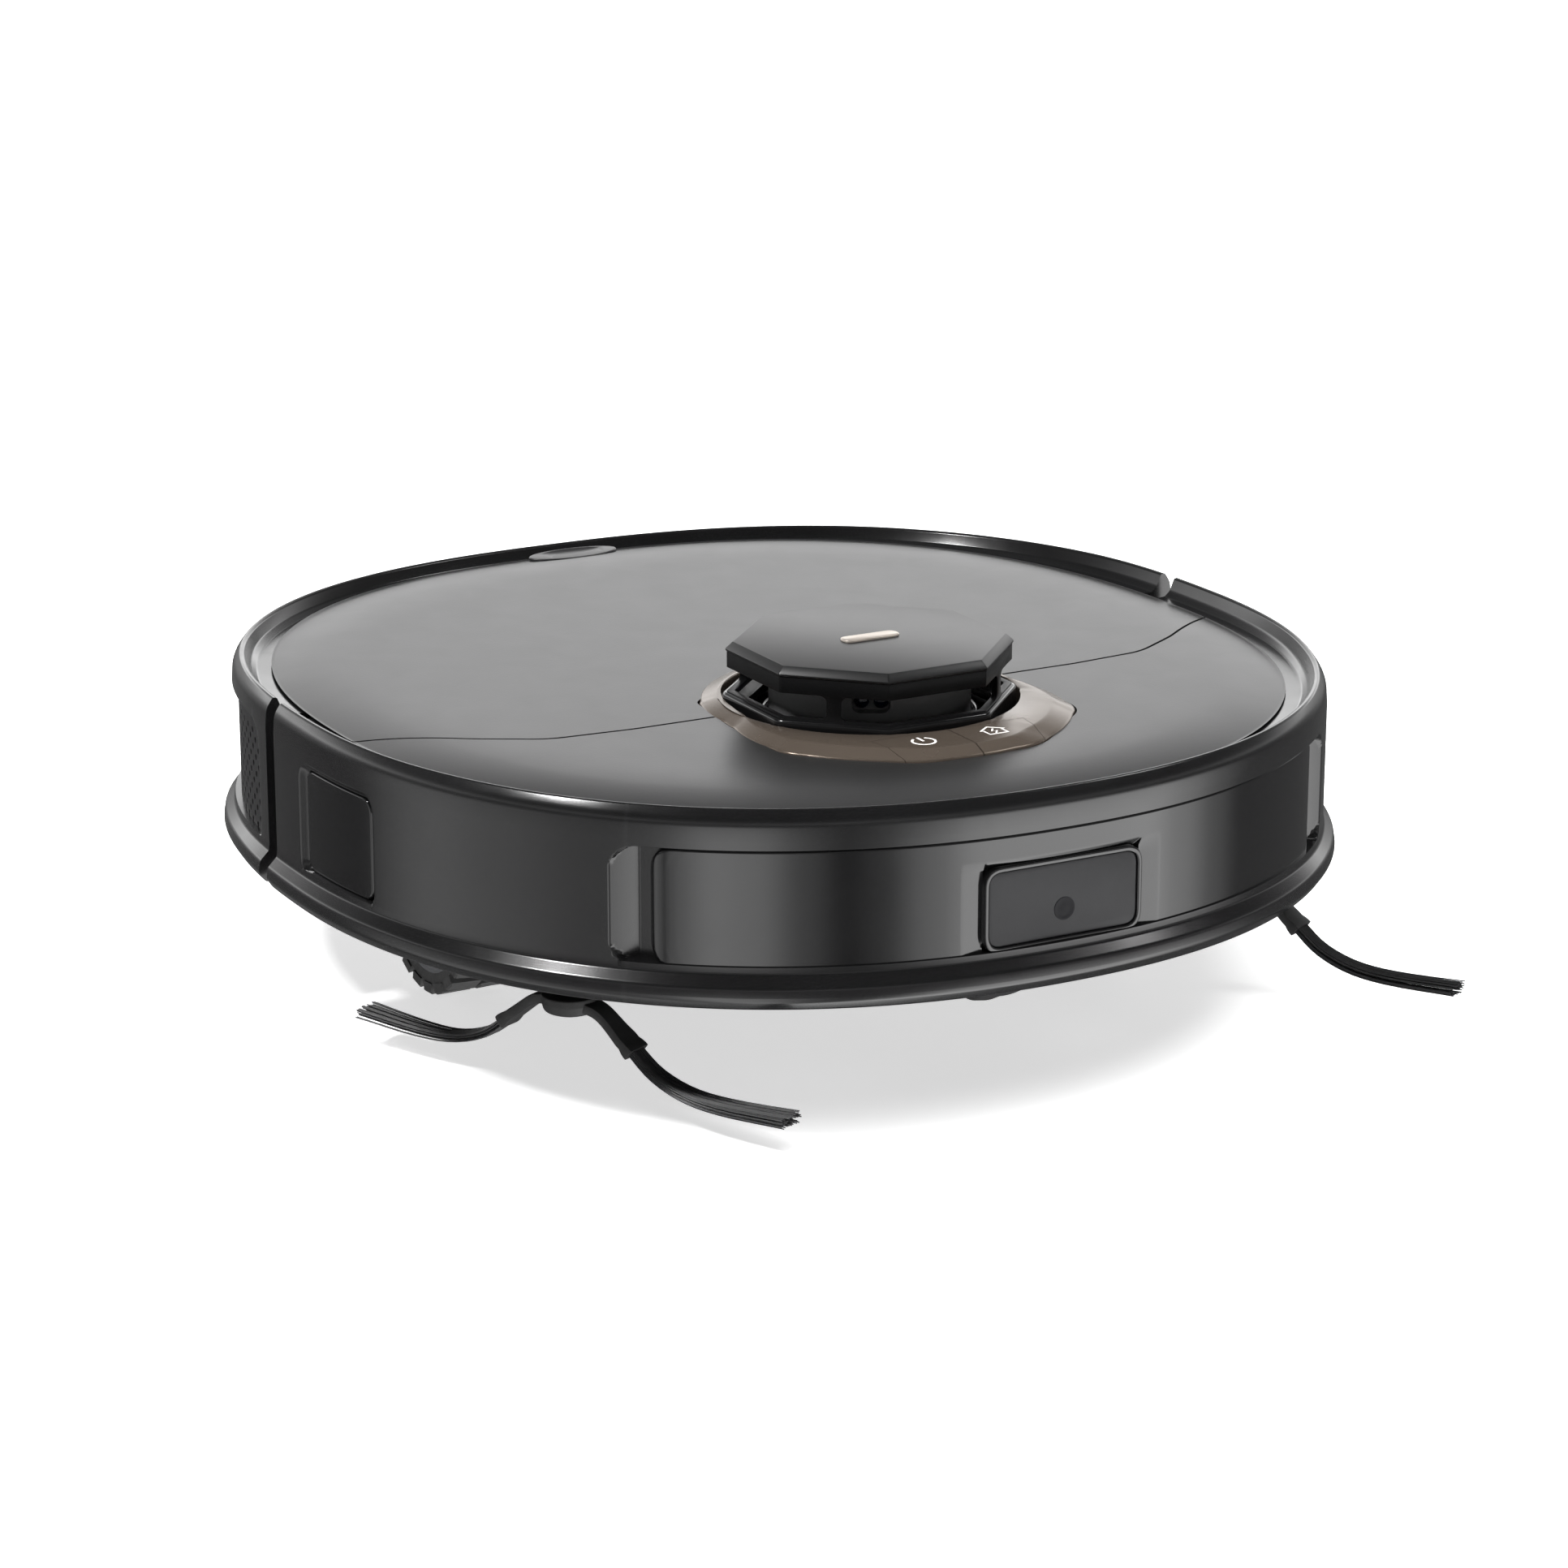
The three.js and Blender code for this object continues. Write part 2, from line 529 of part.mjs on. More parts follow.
// ---------------------------------------------------------------- turret
const baseOuter = plate(driveOutline(39, 11.5), 63.5, 69.7);
const lidarBase = cut(
  baseOuter,
  plate(driveOutline(37, 9.5), 66, 80),
  post(0, TURRET_Y, 10.3, 0, 80),
  post(...MOTOR_PULLEY, 2, 0, 80, 12),
);
addNode('lidar_base', lidarBase, mattBlack);
const ROTOR_OUTLINE = [
  [0, 62], [10, 62], [10, 66.5], [25.6, 67], [25.6, 71.5], [ROTOR_R, 74.2], [ROTOR_R, 90.2], [0, 90.2],
];
// The drum rests with its lens slot turned towards the right-hand front.
const SLOT_TURN = -29;
const slotBlank = frontBlock(0, 86.5, 13, 5.6, 2.6, -40, -28);
const lensSlot = slotBlank.rotate([0, 0, SLOT_TURN]).translate([0, TURRET_Y, 0]);
addNode('lidar_rotor', cut(solid(lathe(ROTOR_OUTLINE, 28).translate(0, TURRET_Y, 0)), lensSlot), glossBlack);
const beltBlank = plate(driveOutline(27.4, 5.6), 68, 71, 10);
addNode('lidar_belt', cut(beltBlank, plate(driveOutline(26.4, 4.6), 60, 80, 10)), rubber);
const PULLEY_OUTLINE = [[0, 60], [1.7, 60], [1.7, 67.6], [4, 67.6], [4, 71.4], [0, 71.4]];
addNode('lidar_pulley', solid(lathe(PULLEY_OUTLINE, 16).translate(...MOTOR_PULLEY, 0)), brassMetal);
const motorBody = cut(post(...MOTOR_PULLEY, 9, 59.5, 63.2), post(...MOTOR_PULLEY, 2, 0, 80, 12));
addNode('lidar_motor', motorBody, greyPlastic);

// The cage is an octagon with four wide windows, which leave a pillar on each diagonal face.
const CAGE = {
  apothem: 42, foot: 75.6, top: 95.6, ceiling: 92, pocketH: 81.4, sillH: 83, headH: 90.8, windowHalf: 27.8,
};
const cageWindow = frontBlock(0, (CAGE.sillH + CAGE.headH) / 2, 2 * CAGE.windowHalf, CAGE.headH - CAGE.sillH,
  2.4, -60, 60);
const crossWindow = sideBlock(0, (CAGE.sillH + CAGE.headH) / 2, 2 * CAGE.windowHalf, CAGE.headH - CAGE.sillH,
  2.4, -60, 60);
const cage = cut(
  plate(octagon(CAGE.apothem, 0), CAGE.foot, CAGE.top),
  post(0, 0, 34, 0, CAGE.ceiling, 28),
  plate(octagon(CAGE.apothem - 2.4, 0), CAGE.pocketH, CAGE.ceiling),
  cageWindow,
  crossWindow,
);
addNode('turret_cage', cage.translate([0, TURRET_Y, 0]), mattBlack);
const CAP_BEVEL = 2.1;
const capBevel = {
  bevelEnabled: true, bevelThickness: CAP_BEVEL, bevelSize: CAP_BEVEL, bevelOffset: -CAP_BEVEL, bevelSegments: 1,
};
const capDepth = CAP_TOP_H - CAGE.top - GAP - CAP_BEVEL;
const capGeometry = new THREE.ExtrudeGeometry(new THREE.Shape(octagon(TURRET_APOTHEM, TURRET_Y)), {
  depth: capDepth, ...capBevel,
});
capGeometry.translate(0, 0, CAGE.top + GAP);
const cap = solid(capGeometry).intersect(box(-far, far, -far, far, CAGE.top + GAP, far));
addNode('turret_cap', cap, mattBlack);
const badge = plate(roundedRect(20, 6, 2.9), CAP_TOP_H + 0.1, CAP_TOP_H + 0.7);
addNode('cap_badge', badge.translate([0, TURRET_Y, 0]), badgeMetal);

// ---------------------------------------------------------------- drive wheels
const HALF_TYRE = WHEEL_WIDTH / 2;
const RIM_R = 25;
const TYRE_OUTLINE = [
  [RIM_R + GAP, -HALF_TYRE], [30.5, -HALF_TYRE], [WHEEL_R, -HALF_TYRE + 2], [WHEEL_R, HALF_TYRE - 2],
  [30.5, HALF_TYRE], [RIM_R + GAP, HALF_TYRE], [RIM_R + GAP, -HALF_TYRE],
];
const TREAD = { blocks: 16, groove: 3.6, depth: 2.4 };
function wheelTyre() {
  let tyre = solid(latheX(TYRE_OUTLINE, 32));
  for (let i = 0; i < TREAD.blocks; i += 1) {
    const groove = new THREE.BoxGeometry(WHEEL_WIDTH + 4, TREAD.groove, 2 * TREAD.depth);
    groove.translate(0, 0, WHEEL_R);
    groove.rotateX(((i + 0.5) / TREAD.blocks) * 2 * Math.PI);
    tyre = cut(tyre, solid(groove));
  }
  return tyre;
}
// The rim carries a short axle that runs in the arm.
const RIM_OUTLINE = [
  [0, -21], [3, -21], [3, -11], [12, -10.5], [RIM_R, -10], [RIM_R, 10.5], [22.5, 10.5], [21, 5], [9, 5],
  [8, 9.5], [0, 9.5],
];
const rimBlank = solid(latheX(RIM_OUTLINE, 20));
for (const [name, side] of sides) {
  const place = (body) => solid(mirrored(geometryOf(body).translate(WHEEL_X, WHEEL_Y, WHEEL_H), side));
  addNode(`drive_tyre_${name}`, place(wheelTyre()), rubber);
  addNode(`drive_rim_${name}`, place(rimBlank), greyPlastic);

  // The arm is a gear case from the hinge to the axle, with its own hinge pin.
  const slope = Math.atan2(PIVOT_H - WHEEL_H, PIVOT_Y - WHEEL_Y);
  const reach = Math.hypot(PIVOT_H - WHEEL_H, PIVOT_Y - WHEEL_Y);
  const armShape = new THREE.Shape();
  armShape.absarc(0, 0, 13, Math.PI / 2, 1.5 * Math.PI);
  armShape.absarc(reach, 0, 11, -Math.PI / 2, Math.PI / 2);
  const armOptions = { depth: ARM.outer - ARM.inner, bevelEnabled: false, curveSegments: 8 };
  const armGeometry = new THREE.ExtrudeGeometry(armShape, armOptions);
  armGeometry.rotateZ(slope);
  armGeometry.rotateX(Math.PI / 2);
  armGeometry.rotateZ(Math.PI / 2);
  armGeometry.translate(ARM.inner, WHEEL_Y, WHEEL_H);
  const arm = cut(
    join(solid(mirrored(armGeometry, side)), rod(side * 75.8, side * 99.7, PIVOT_Y, PIVOT_H, ARM.pinR, 16)),
    rod(side * 84, side * 97, WHEEL_Y, WHEEL_H, 3.1, 16),
  );
  addNode(`swing_arm_${name}`, arm, mattBlack);
  const motor = join(
    rod(side * 64, side * 78.5, WHEEL_Y + 25, 24.5, 9.5, 20),
    rod(side * 78.5, side * (ARM.inner - GAP), WHEEL_Y + 25, 24.5, 4, 16),
  );
  addNode(`drive_motor_${name}`, motor, springSteel);
  const spring = coil(4.5, 0.7, 4, 37.6, 69.6).translate(side * 87.5, WHEEL_Y + 22, 0);
  addNode(`suspension_spring_${name}`, solid(spring), springSteel);

  const pusher = coil(2.6, 0.5, 3, 0, 7).rotateX(Math.PI / 2).translate(side * 60, -156.2, 25);
  addNode(`bumper_spring_${name}`, solid(pusher), springSteel);
}

// ---------------------------------------------------------------- caster
const FORK_OUTLINE = [
  [0, 5], [11, 5], [16.5, 8.5], [18.2, 12], [18.2, 31], [4, 31], [4, 36], [0, 36],
];
const CASTER_WHEEL = { y: CASTER_Y + 3, h: 14, r: 14, halfWidth: 7.5 };
const fork = cut(
  solid(lathe(FORK_OUTLINE, 24).translate(0, CASTER_Y, 0)),
  box(-8.2, 8.2, CASTER_WHEEL.y - 14.8, CASTER_WHEEL.y + 14.8, 0, 28.9),
  rod(-12, 12, CASTER_WHEEL.y, CASTER_WHEEL.h, 1.8, 12),
);
addNode('caster_fork', fork, mattBlack);
const half = CASTER_WHEEL.halfWidth;
const CASTER_OUTLINE = [
  [0, -11.6], [1.5, -11.6], [1.5, -half], [10.5, -half], [13.4, -half + 2.2], [14, 0], [13.4, half - 2.2],
  [10.5, half], [1.5, half], [1.5, 11.6], [0, 11.6],
];
const casterWheel = latheX(CASTER_OUTLINE, 20).translate(0, CASTER_WHEEL.y, CASTER_WHEEL.h);
addNode('caster_wheel', solid(casterWheel), rubber);

// ---------------------------------------------------------------- main brush
const CORE_OUTLINE = [
  [0, -81.7], [3, -81.7], [3, -78.8], [15, -78.8], [15, -76.2], [11.8, -76.2], [11.8, 76.2], [15, 76.2],
  [15, 78.8], [3, 78.8], [3, 81.7], [0, 81.7],
];
addNode('brush_core', solid(latheX(CORE_OUTLINE, 16).translate(0, BRUSH_Y, BRUSH_H)), greyPlastic);
const BLADE = { count: 5, half: 75.8, root: 13, tip: 20, thickness: 2.4, twist: 1.1 };
let blades = solid(latheX([
  [12.1, -BLADE.half], [14.2, -BLADE.half], [14.2, BLADE.half], [12.1, BLADE.half], [12.1, -BLADE.half],
], 16));
for (let i = 0; i < BLADE.count; i += 1) {
  const depth = BLADE.tip - BLADE.root;
  const blade = new THREE.BoxGeometry(2 * BLADE.half, BLADE.thickness, depth, 8, 1, 1);
  blade.translate(0, 0, BLADE.root + depth / 2);
  const position = blade.attributes.position;
  for (let k = 0; k < position.count; k += 1) {
    const [x, y, z] = [position.getX(k), position.getY(k), position.getZ(k)];
    const turn = (i / BLADE.count) * 2 * Math.PI + BLADE.twist * (1 - Math.abs(x) / BLADE.half);
    position.setXYZ(k, x, y * Math.cos(turn) - z * Math.sin(turn), y * Math.sin(turn) + z * Math.cos(turn));
  }
  blades = join(blades, solid(blade));
}
addNode('brush_blades', blades.translate([0, BRUSH_Y, BRUSH_H]), bristle);

// ---------------------------------------------------------------- side brushes
// Rubber arms slope down from the hub, and a tuft of bristles runs on from each to near the floor.
const ARM_PATH = [[5, 8], [12, 6.6], [19, 1.6], [25, -3.2]];
const TUFT_PATH = [[25.3, -3.5], [33, -9], [45, -12.8], [60, -13.6], [83.5, -12.2]];
function radialPath(pairs, angle) {
  const [c, s] = [Math.cos(angle), Math.sin(angle)];
  return new THREE.CatmullRomCurve3(pairs.map(([r, h]) => new THREE.Vector3(r * c, r * s, h)));
}
const TUFT_NAMES = ['front', 'rear'];
for (const [name, side] of sides) {
  const [x, y] = [side * HUB_X, HUB_Y];
  let hub = solid(lathe([[0, 4.5], [7, 4.5], [9, 6], [9, 10.6], [4, 10.6], [4, 20], [0, 20]], 16));
  HUB_ANGLES.forEach((degrees, i) => {
    const angle = THREE.MathUtils.degToRad(degrees);
    const across = new THREE.Vector3(-Math.sin(angle), Math.cos(angle), 0);
    hub = join(hub, solid(bentBar(radialPath(ARM_PATH, angle), across, () => [4.4, 2.2], 8, 5)));
    const tuftSize = (u) => [3.2 + 2.3 * u, 2 + 0.2 * u];
    const tuft = bentBar(radialPath(TUFT_PATH, angle), across, tuftSize, 6, 10).translate(x, y, 0);
    addNode(`side_brush_${name}_bristles_${TUFT_NAMES[i]}`, solid(tuft), bristle);
  });
  addNode(`side_brush_${name}`, hub.translate([x, y, 0]), rubber);
  const motor = cut(post(x, y, 9.5, 18, 40, 20), post(x, y, 4.4, 0, 21, 16));
  addNode(`side_brush_motor_${name}`, motor, greyPlastic);
}

export default floorCleaner;
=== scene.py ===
"""The looks of a robotic floor cleaner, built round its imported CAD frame.

Shapes are worked out in millimetres, with heights "h" above the floor the robot drives on, and turned
into metres in the frame by place(). The robot's front faces -Y, and its right side is -X.
"""
import json
import math
import random

import bmesh
import bpy
import numpy as np
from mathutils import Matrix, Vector


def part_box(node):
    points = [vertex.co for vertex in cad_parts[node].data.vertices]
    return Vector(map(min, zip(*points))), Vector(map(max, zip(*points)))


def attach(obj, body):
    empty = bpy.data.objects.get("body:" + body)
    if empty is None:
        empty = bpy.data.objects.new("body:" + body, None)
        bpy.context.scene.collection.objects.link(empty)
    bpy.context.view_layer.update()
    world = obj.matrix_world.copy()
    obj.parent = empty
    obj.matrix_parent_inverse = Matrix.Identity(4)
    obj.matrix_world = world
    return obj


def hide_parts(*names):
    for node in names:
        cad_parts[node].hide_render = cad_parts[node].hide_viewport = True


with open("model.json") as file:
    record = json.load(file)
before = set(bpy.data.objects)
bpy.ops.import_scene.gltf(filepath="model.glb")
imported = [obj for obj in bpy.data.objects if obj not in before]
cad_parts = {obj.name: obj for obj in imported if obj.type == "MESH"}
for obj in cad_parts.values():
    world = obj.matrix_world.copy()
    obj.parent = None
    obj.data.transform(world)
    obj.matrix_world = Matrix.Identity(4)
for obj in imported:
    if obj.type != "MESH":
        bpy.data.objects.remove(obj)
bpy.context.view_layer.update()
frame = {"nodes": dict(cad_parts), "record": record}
random.seed(7)

MM = 0.001

# ------------------------------------------------------------------ sizes taken from the frame
UNDERSIDE_H = 11.0
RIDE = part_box("chassis_base")[0].z / MM - UNDERSIDE_H
LIP_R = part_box("bumper")[1].x / MM
CREST_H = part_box("bumper")[1].z / MM - RIDE
LENGTH_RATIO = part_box("rear_shell")[1].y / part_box("bumper")[1].x
BUMPER_END_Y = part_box("bumper")[1].y / MM
SHELL_START_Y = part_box("rear_shell")[0].y / MM
WALL_R = LIP_R - 4.0
FRONT_POWER = 2.18
REAR_POWER = 2.42
COVER_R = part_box("rear_cover")[1].x / MM
TURRET_Y = (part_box("turret_cap")[0].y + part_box("turret_cap")[1].y) / 2 / MM
CAP_TOP_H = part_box("turret_cap")[1].z / MM - RIDE
TRIM_TOP_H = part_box("trim_bezel")[1].z / MM - RIDE


# ------------------------------------------------------------------ plan of the body
def push(theta):
    """How far the superellipse pushes a circle outwards in the direction theta (an array)."""
    power = np.where(np.sin(theta) < 0, FRONT_POWER, REAR_POWER)
    total = np.abs(np.cos(theta)) ** power + np.abs(np.sin(theta)) ** power
    return total ** (-1 / power)


def plan(theta, r):
    """Plan points of the outline whose half width is r."""
    grow = push(theta)
    return r * grow * np.cos(theta), r * grow * np.sin(theta) * LENGTH_RATIO


# Distance along the wall from the middle of the front, positive towards +X, against direction.
_theta = np.linspace(-1.5 * math.pi, 0.5 * math.pi, 7201)
_x, _y = plan(_theta, WALL_R)
_run = np.concatenate([[0], np.cumsum(np.hypot(np.diff(_x), np.diff(_y)))])
_run -= np.interp(-math.pi / 2, _theta, _run)
WALL_LENGTH = _run[-1] - _run[0]


def theta_at(s):
    return np.interp(s, _run, _theta)


def run_at(x, y):
    """Distance along the wall of the plan point nearest the direction of (x, y)."""
    i = np.argmin(np.hypot(_x - x, _y - y))
    return float(_run[i])


def wall_point(s, h, r):
    """Points on the outline of half width r, at run s and height h. Near the joint between the
    bumper and the rear shell, y no longer depends on r, so that their ends are flat. Runs may go on
    past the middle of the back."""
    x, y = plan(theta_at(np.where(s > _run[-1], s - WALL_LENGTH, s)), r)
    near = np.clip((80 - np.abs(y)) / 45, 0, 1)
    near = near * near * (3 - 2 * near)
    y = y * (1 + (WALL_R / r - 1) * near)
    return np.stack([x, y, h + 0 * x], axis=-1)


def ease(t):
    """A smooth step from 0 at t = 0 to 1 at t = 1."""
    t = np.clip(t, 0, 1)
    return t * t * (3 - 2 * t)


def inside_rounded(u, v, half_u, half_v, radius):
    """Distance inwards from the edge of a rounded rectangle, negative outside it."""
    qu = np.abs(u) - half_u + radius
    qv = np.abs(v) - half_v + radius
    outside = np.hypot(np.maximum(qu, 0), np.maximum(qv, 0))
    return -(outside + np.minimum(np.maximum(qu, qv), 0) - radius)


def stations(start, end, step, edges=(), reach=8.0, fine=0.6):
    """Runs from start to end, a step apart, and closer together within reach of each edge."""
    spots = set(np.round(np.linspace(start, end, int((end - start) / step) + 1), 3))
    for edge in edges:
        low, high = max(start, edge - reach), min(end, edge + reach)
        if high > low:
            spots |= set(np.round(np.arange(low, high, fine), 3))
    return np.array(sorted(spots))


# ------------------------------------------------------------------ outlines
def fillet(corners, closed=True, steps=5):
    """Rounds the corners of an outline. Each corner is (a, b, radius), and 0 leaves it sharp."""
    result = []
    count = len(corners)
    for i, (a, b, radius) in enumerate(corners):
        if radius == 0 or (not closed and i in (0, count - 1)):
            result.append((a, b))
            continue
        here = np.array([a, b], float)
        before = np.array(corners[i - 1][:2], float) - here
        after = np.array(corners[(i + 1) % count][:2], float) - here
        lengths = np.linalg.norm(before), np.linalg.norm(after)
        before, after = before / lengths[0], after / lengths[1]
        angle = math.acos(np.clip(before @ after, -1, 1))
        reach = min(radius / math.tan(angle / 2), 0.48 * min(lengths))
        for k in range(steps + 1):
            t = k / steps
            spot = here + before * reach * (1 - t) ** 2 + after * reach * t ** 2
            result.append(tuple(spot))
    return result


def octagon(apothem, radius=0.0, steps=4):
    corner = apothem / math.cos(math.pi / 8)
    spots = [(i + 0.5) * math.pi / 4 for i in range(8)]
    return fillet([(corner * math.cos(t), corner * math.sin(t), radius) for t in spots], steps=steps)


def rounded_rect(half_a, half_b, radius, steps=6):
    corners = [(half_a, -half_b), (half_a, half_b), (-half_a, half_b), (-half_a, -half_b)]
    return fillet([(a, b, radius) for a, b in corners], steps=steps)


# ------------------------------------------------------------------ meshes
def place(points):
    """Millimetres with heights above the driving floor, to metres in the frame."""
    points = np.array(points, float).reshape(-1, 3)
    return (points + [0, 0, RIDE]) * MM


def new_object(name, points, faces, smooth=35):
    mesh = bpy.data.meshes.new(name)
    mesh.from_pydata([tuple(p) for p in place(points)], [], [tuple(int(i) for i in f) for f in faces])
    mesh.update()
    tidy = bmesh.new()
    tidy.from_mesh(mesh)
    bmesh.ops.remove_doubles(tidy, verts=tidy.verts, dist=1e-6)
    bmesh.ops.recalc_face_normals(tidy, faces=tidy.faces)
    tidy.to_mesh(mesh)
    tidy.free()
    shade(mesh, smooth)
    obj = bpy.data.objects.new(name, mesh)
    bpy.context.scene.collection.objects.link(obj)
    return obj


def shade(mesh, angle):
    mesh.shade_smooth()
    if angle < 180:
        mesh.set_sharp_from_angle(angle=math.radians(angle))


def finish_piece(obj, material, body, slot, *nodes):
    obj.data.materials.clear()
    obj.data.materials.append(material)
    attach(obj, body)
    if nodes:
        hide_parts(*nodes)
    return obj


def grid_faces(rows, columns, wrap_rows=False, wrap_columns=False):
    """Quads over a grid of points, numbered row by row."""
    faces = []
    for i in range(rows if wrap_rows else rows - 1):
        for j in range(columns if wrap_columns else columns - 1):
            k, m = (i + 1) % rows, (j + 1) % columns
            faces.append((i * columns + j, i * columns + m, k * columns + m, k * columns + j))
    return faces


def loft(name, loops, smooth=35, closed=False):
    """A skin over loops of the same number of points, capped at both ends unless closed on itself."""
    count = len(loops[0])
    faces = grid_faces(len(loops), count, wrap_rows=closed, wrap_columns=True)
    if not closed:
        faces.append(tuple(range(count))[::-1])
        faces.append(tuple(range((len(loops) - 1) * count, len(loops) * count)))
    return new_object(name, np.concatenate([np.array(loop, float) for loop in loops]), faces, smooth)


def lathe(name, outline, steps=96, axis="z", centre=(0, 0, 0), smooth=35):
    """An outline of (radius, distance along the axis) turned about the axis through centre."""
    turns = np.linspace(0, 2 * math.pi, steps, endpoint=False)
    points = []
    for r, a in outline:
        ring = [(r * math.cos(t), r * math.sin(t), a) for t in turns]
        if axis == "x":
            ring = [(z, x, y) for x, y, z in ring]
        points.append([np.add(p, centre) for p in ring])
    return loft(name, points, smooth)


def slab(name, outline, h0, h1, smooth=35):
    """A flat outline of (x, y) between two heights."""
    low = [(x, y, h0) for x, y in outline]
    high = [(x, y, h1) for x, y in outline]
    return loft(name, [low, high], smooth)


def cutter(outline, span, across):
    """A bar of the outline: along Y when across is "y" (outline in x, h), or along X (in y, h)."""
    if across == "y":
        loops = [[(a, t, b) for a, b in outline] for t in span]
    else:
        loops = [[(t, a, b) for a, b in outline] for t in span]
    return loft("cutter", loops)


def boolean(obj, tool, operation="DIFFERENCE"):
    """Cuts, joins or crosses obj with a tool, which is used up."""
    modifier = obj.modifiers.new("cut", "BOOLEAN")
    modifier.operation = operation
    modifier.object = tool
    modifier.solver = "EXACT"
    apply_modifiers(obj)
    bpy.data.objects.remove(tool)


def apply_modifiers(obj):
    bpy.context.view_layer.update()
    graph = bpy.context.evaluated_depsgraph_get()
    mesh = bpy.data.meshes.new_from_object(obj.evaluated_get(graph))
    obj.modifiers.clear()
    old = obj.data
    obj.data = mesh
    bpy.data.meshes.remove(old)
    return obj


def bevel(obj, width, segments=2, angle=30):
    modifier = obj.modifiers.new("edge", "BEVEL")
    modifier.width = width * MM
    modifier.segments = segments
    modifier.limit_method = "ANGLE"
    modifier.angle_limit = math.radians(angle)
    modifier.harden_normals = False
    return apply_modifiers(obj)


def join(name, objects):
    """One object of several, which are used up."""
    whole = bmesh.new()
    for obj in objects:
        whole.from_mesh(obj.data)
        bpy.data.objects.remove(obj)
    mesh = bpy.data.meshes.new(name)
    whole.to_mesh(mesh)
    whole.free()
    result = bpy.data.objects.new(name, mesh)
    bpy.context.scene.collection.objects.link(result)
    return result


# ------------------------------------------------------------------ materials
def add_node(nodes, kind, **inputs):
    """A shader node with some of its inputs set. An underscore stands for a space in an input's name."""
    node = nodes.new("ShaderNode" + kind)
    for name, value in inputs.items():
        node.inputs[name.replace("_", " ")].default_value = value
    return node


def color_ramp(nodes, stops, interpolation="LINEAR"):
    """A ramp through (position, (red, green, blue)) stops."""
    node = nodes.new("ShaderNodeValToRGB")
    node.color_ramp.interpolation = interpolation
    elements = node.color_ramp.elements
    while len(elements) < len(stops):
        elements.new(0.5)
    for element, (position, color) in zip(elements, stops):
        element.position = position
        element.color = (*color, 1)
    return node


def surface(name, color, roughness, metallic=0.0, grain=0.0, grain_size=0.6, drift=0.12, patch=30.0,
            spread=0.05, wear=0.12, coat=0.0, scratches=0.0, shine=0.5):
    """A moulded, painted or polished surface. Its colour and roughness drift in patches, it has a grain
    of grain_size mm raised by grain mm, a few fine scratches, and it is paler along worn edges."""
    material = bpy.data.materials.new(name)
    material.use_nodes = True
    nodes, links = material.node_tree.nodes, material.node_tree.links
    shader = nodes["Principled BSDF"]
    shader.inputs["Metallic"].default_value = metallic
    shader.inputs["Specular IOR Level"].default_value = shine
    shader.inputs["Coat Weight"].default_value = coat
    shader.inputs["Coat Roughness"].default_value = 0.08
    where = nodes.new("ShaderNodeTexCoord").outputs["Object"]

    broad = add_node(nodes, "TexNoise", Scale=patch, Detail=5)
    links.new(where, broad.inputs["Vector"])
    darker = [c * (1 - drift) for c in color]
    lighter = [min(1, c * (1 + drift)) for c in color]
    tint = color_ramp(nodes, [(0.3, darker), (0.7, lighter)])
    links.new(broad.outputs["Fac"], tint.inputs["Fac"])
    shape = nodes.new("ShaderNodeNewGeometry")
    edge = color_ramp(nodes, [(0.54, [0] * 3), (0.66, [wear] * 3)])
    links.new(shape.outputs["Pointiness"], edge.inputs["Fac"])
    worn = nodes.new("ShaderNodeMix")
    worn.data_type = "RGBA"
    worn.inputs[7].default_value = (*[min(1, c * 2.2 + 0.01) for c in color], 1)
    links.new(edge.outputs["Color"], worn.inputs[0])
    links.new(tint.outputs["Color"], worn.inputs[6])
    links.new(worn.outputs[2], shader.inputs["Base Color"])

    smear = add_node(nodes, "TexNoise", Scale=patch * 2.3, Detail=6, Distortion=0.6)
    links.new(where, smear.inputs["Vector"])
    dull = add_node(nodes, "MapRange", From_Min=0.3, From_Max=0.7, To_Min=max(0.02, roughness - spread),
                    To_Max=roughness + spread)
    links.new(smear.outputs["Fac"], dull.inputs["Value"])
    links.new(dull.outputs["Result"], shader.inputs["Roughness"])

    grains = add_node(nodes, "TexNoise", Scale=1000 / grain_size, Detail=3)
    links.new(where, grains.inputs["Vector"])
    height = grains.outputs["Fac"]
    if scratches:
        stretch = add_node(nodes, "Mapping", Scale=(1400, 40, 900), Rotation=(0.3, 0.2, 0.5))
        links.new(where, stretch.inputs["Vector"])
        lines = add_node(nodes, "TexNoise", Scale=1.0)
        links.new(stretch.outputs["Vector"], lines.inputs["Vector"])
        sparse = add_node(nodes, "MapRange", From_Min=0.66, From_Max=0.72, To_Max=-scratches)
        links.new(lines.outputs["Fac"], sparse.inputs["Value"])
        both = nodes.new("ShaderNodeMath")
        both.operation = "ADD"
        links.new(height, both.inputs[0])
        links.new(sparse.outputs["Result"], both.inputs[1])
        height = both.outputs[0]
    bump = add_node(nodes, "Bump", Strength=1.0, Distance=grain * MM)
    links.new(height, bump.inputs["Height"])
    links.new(bump.outputs["Normal"], shader.inputs["Normal"])
    return material


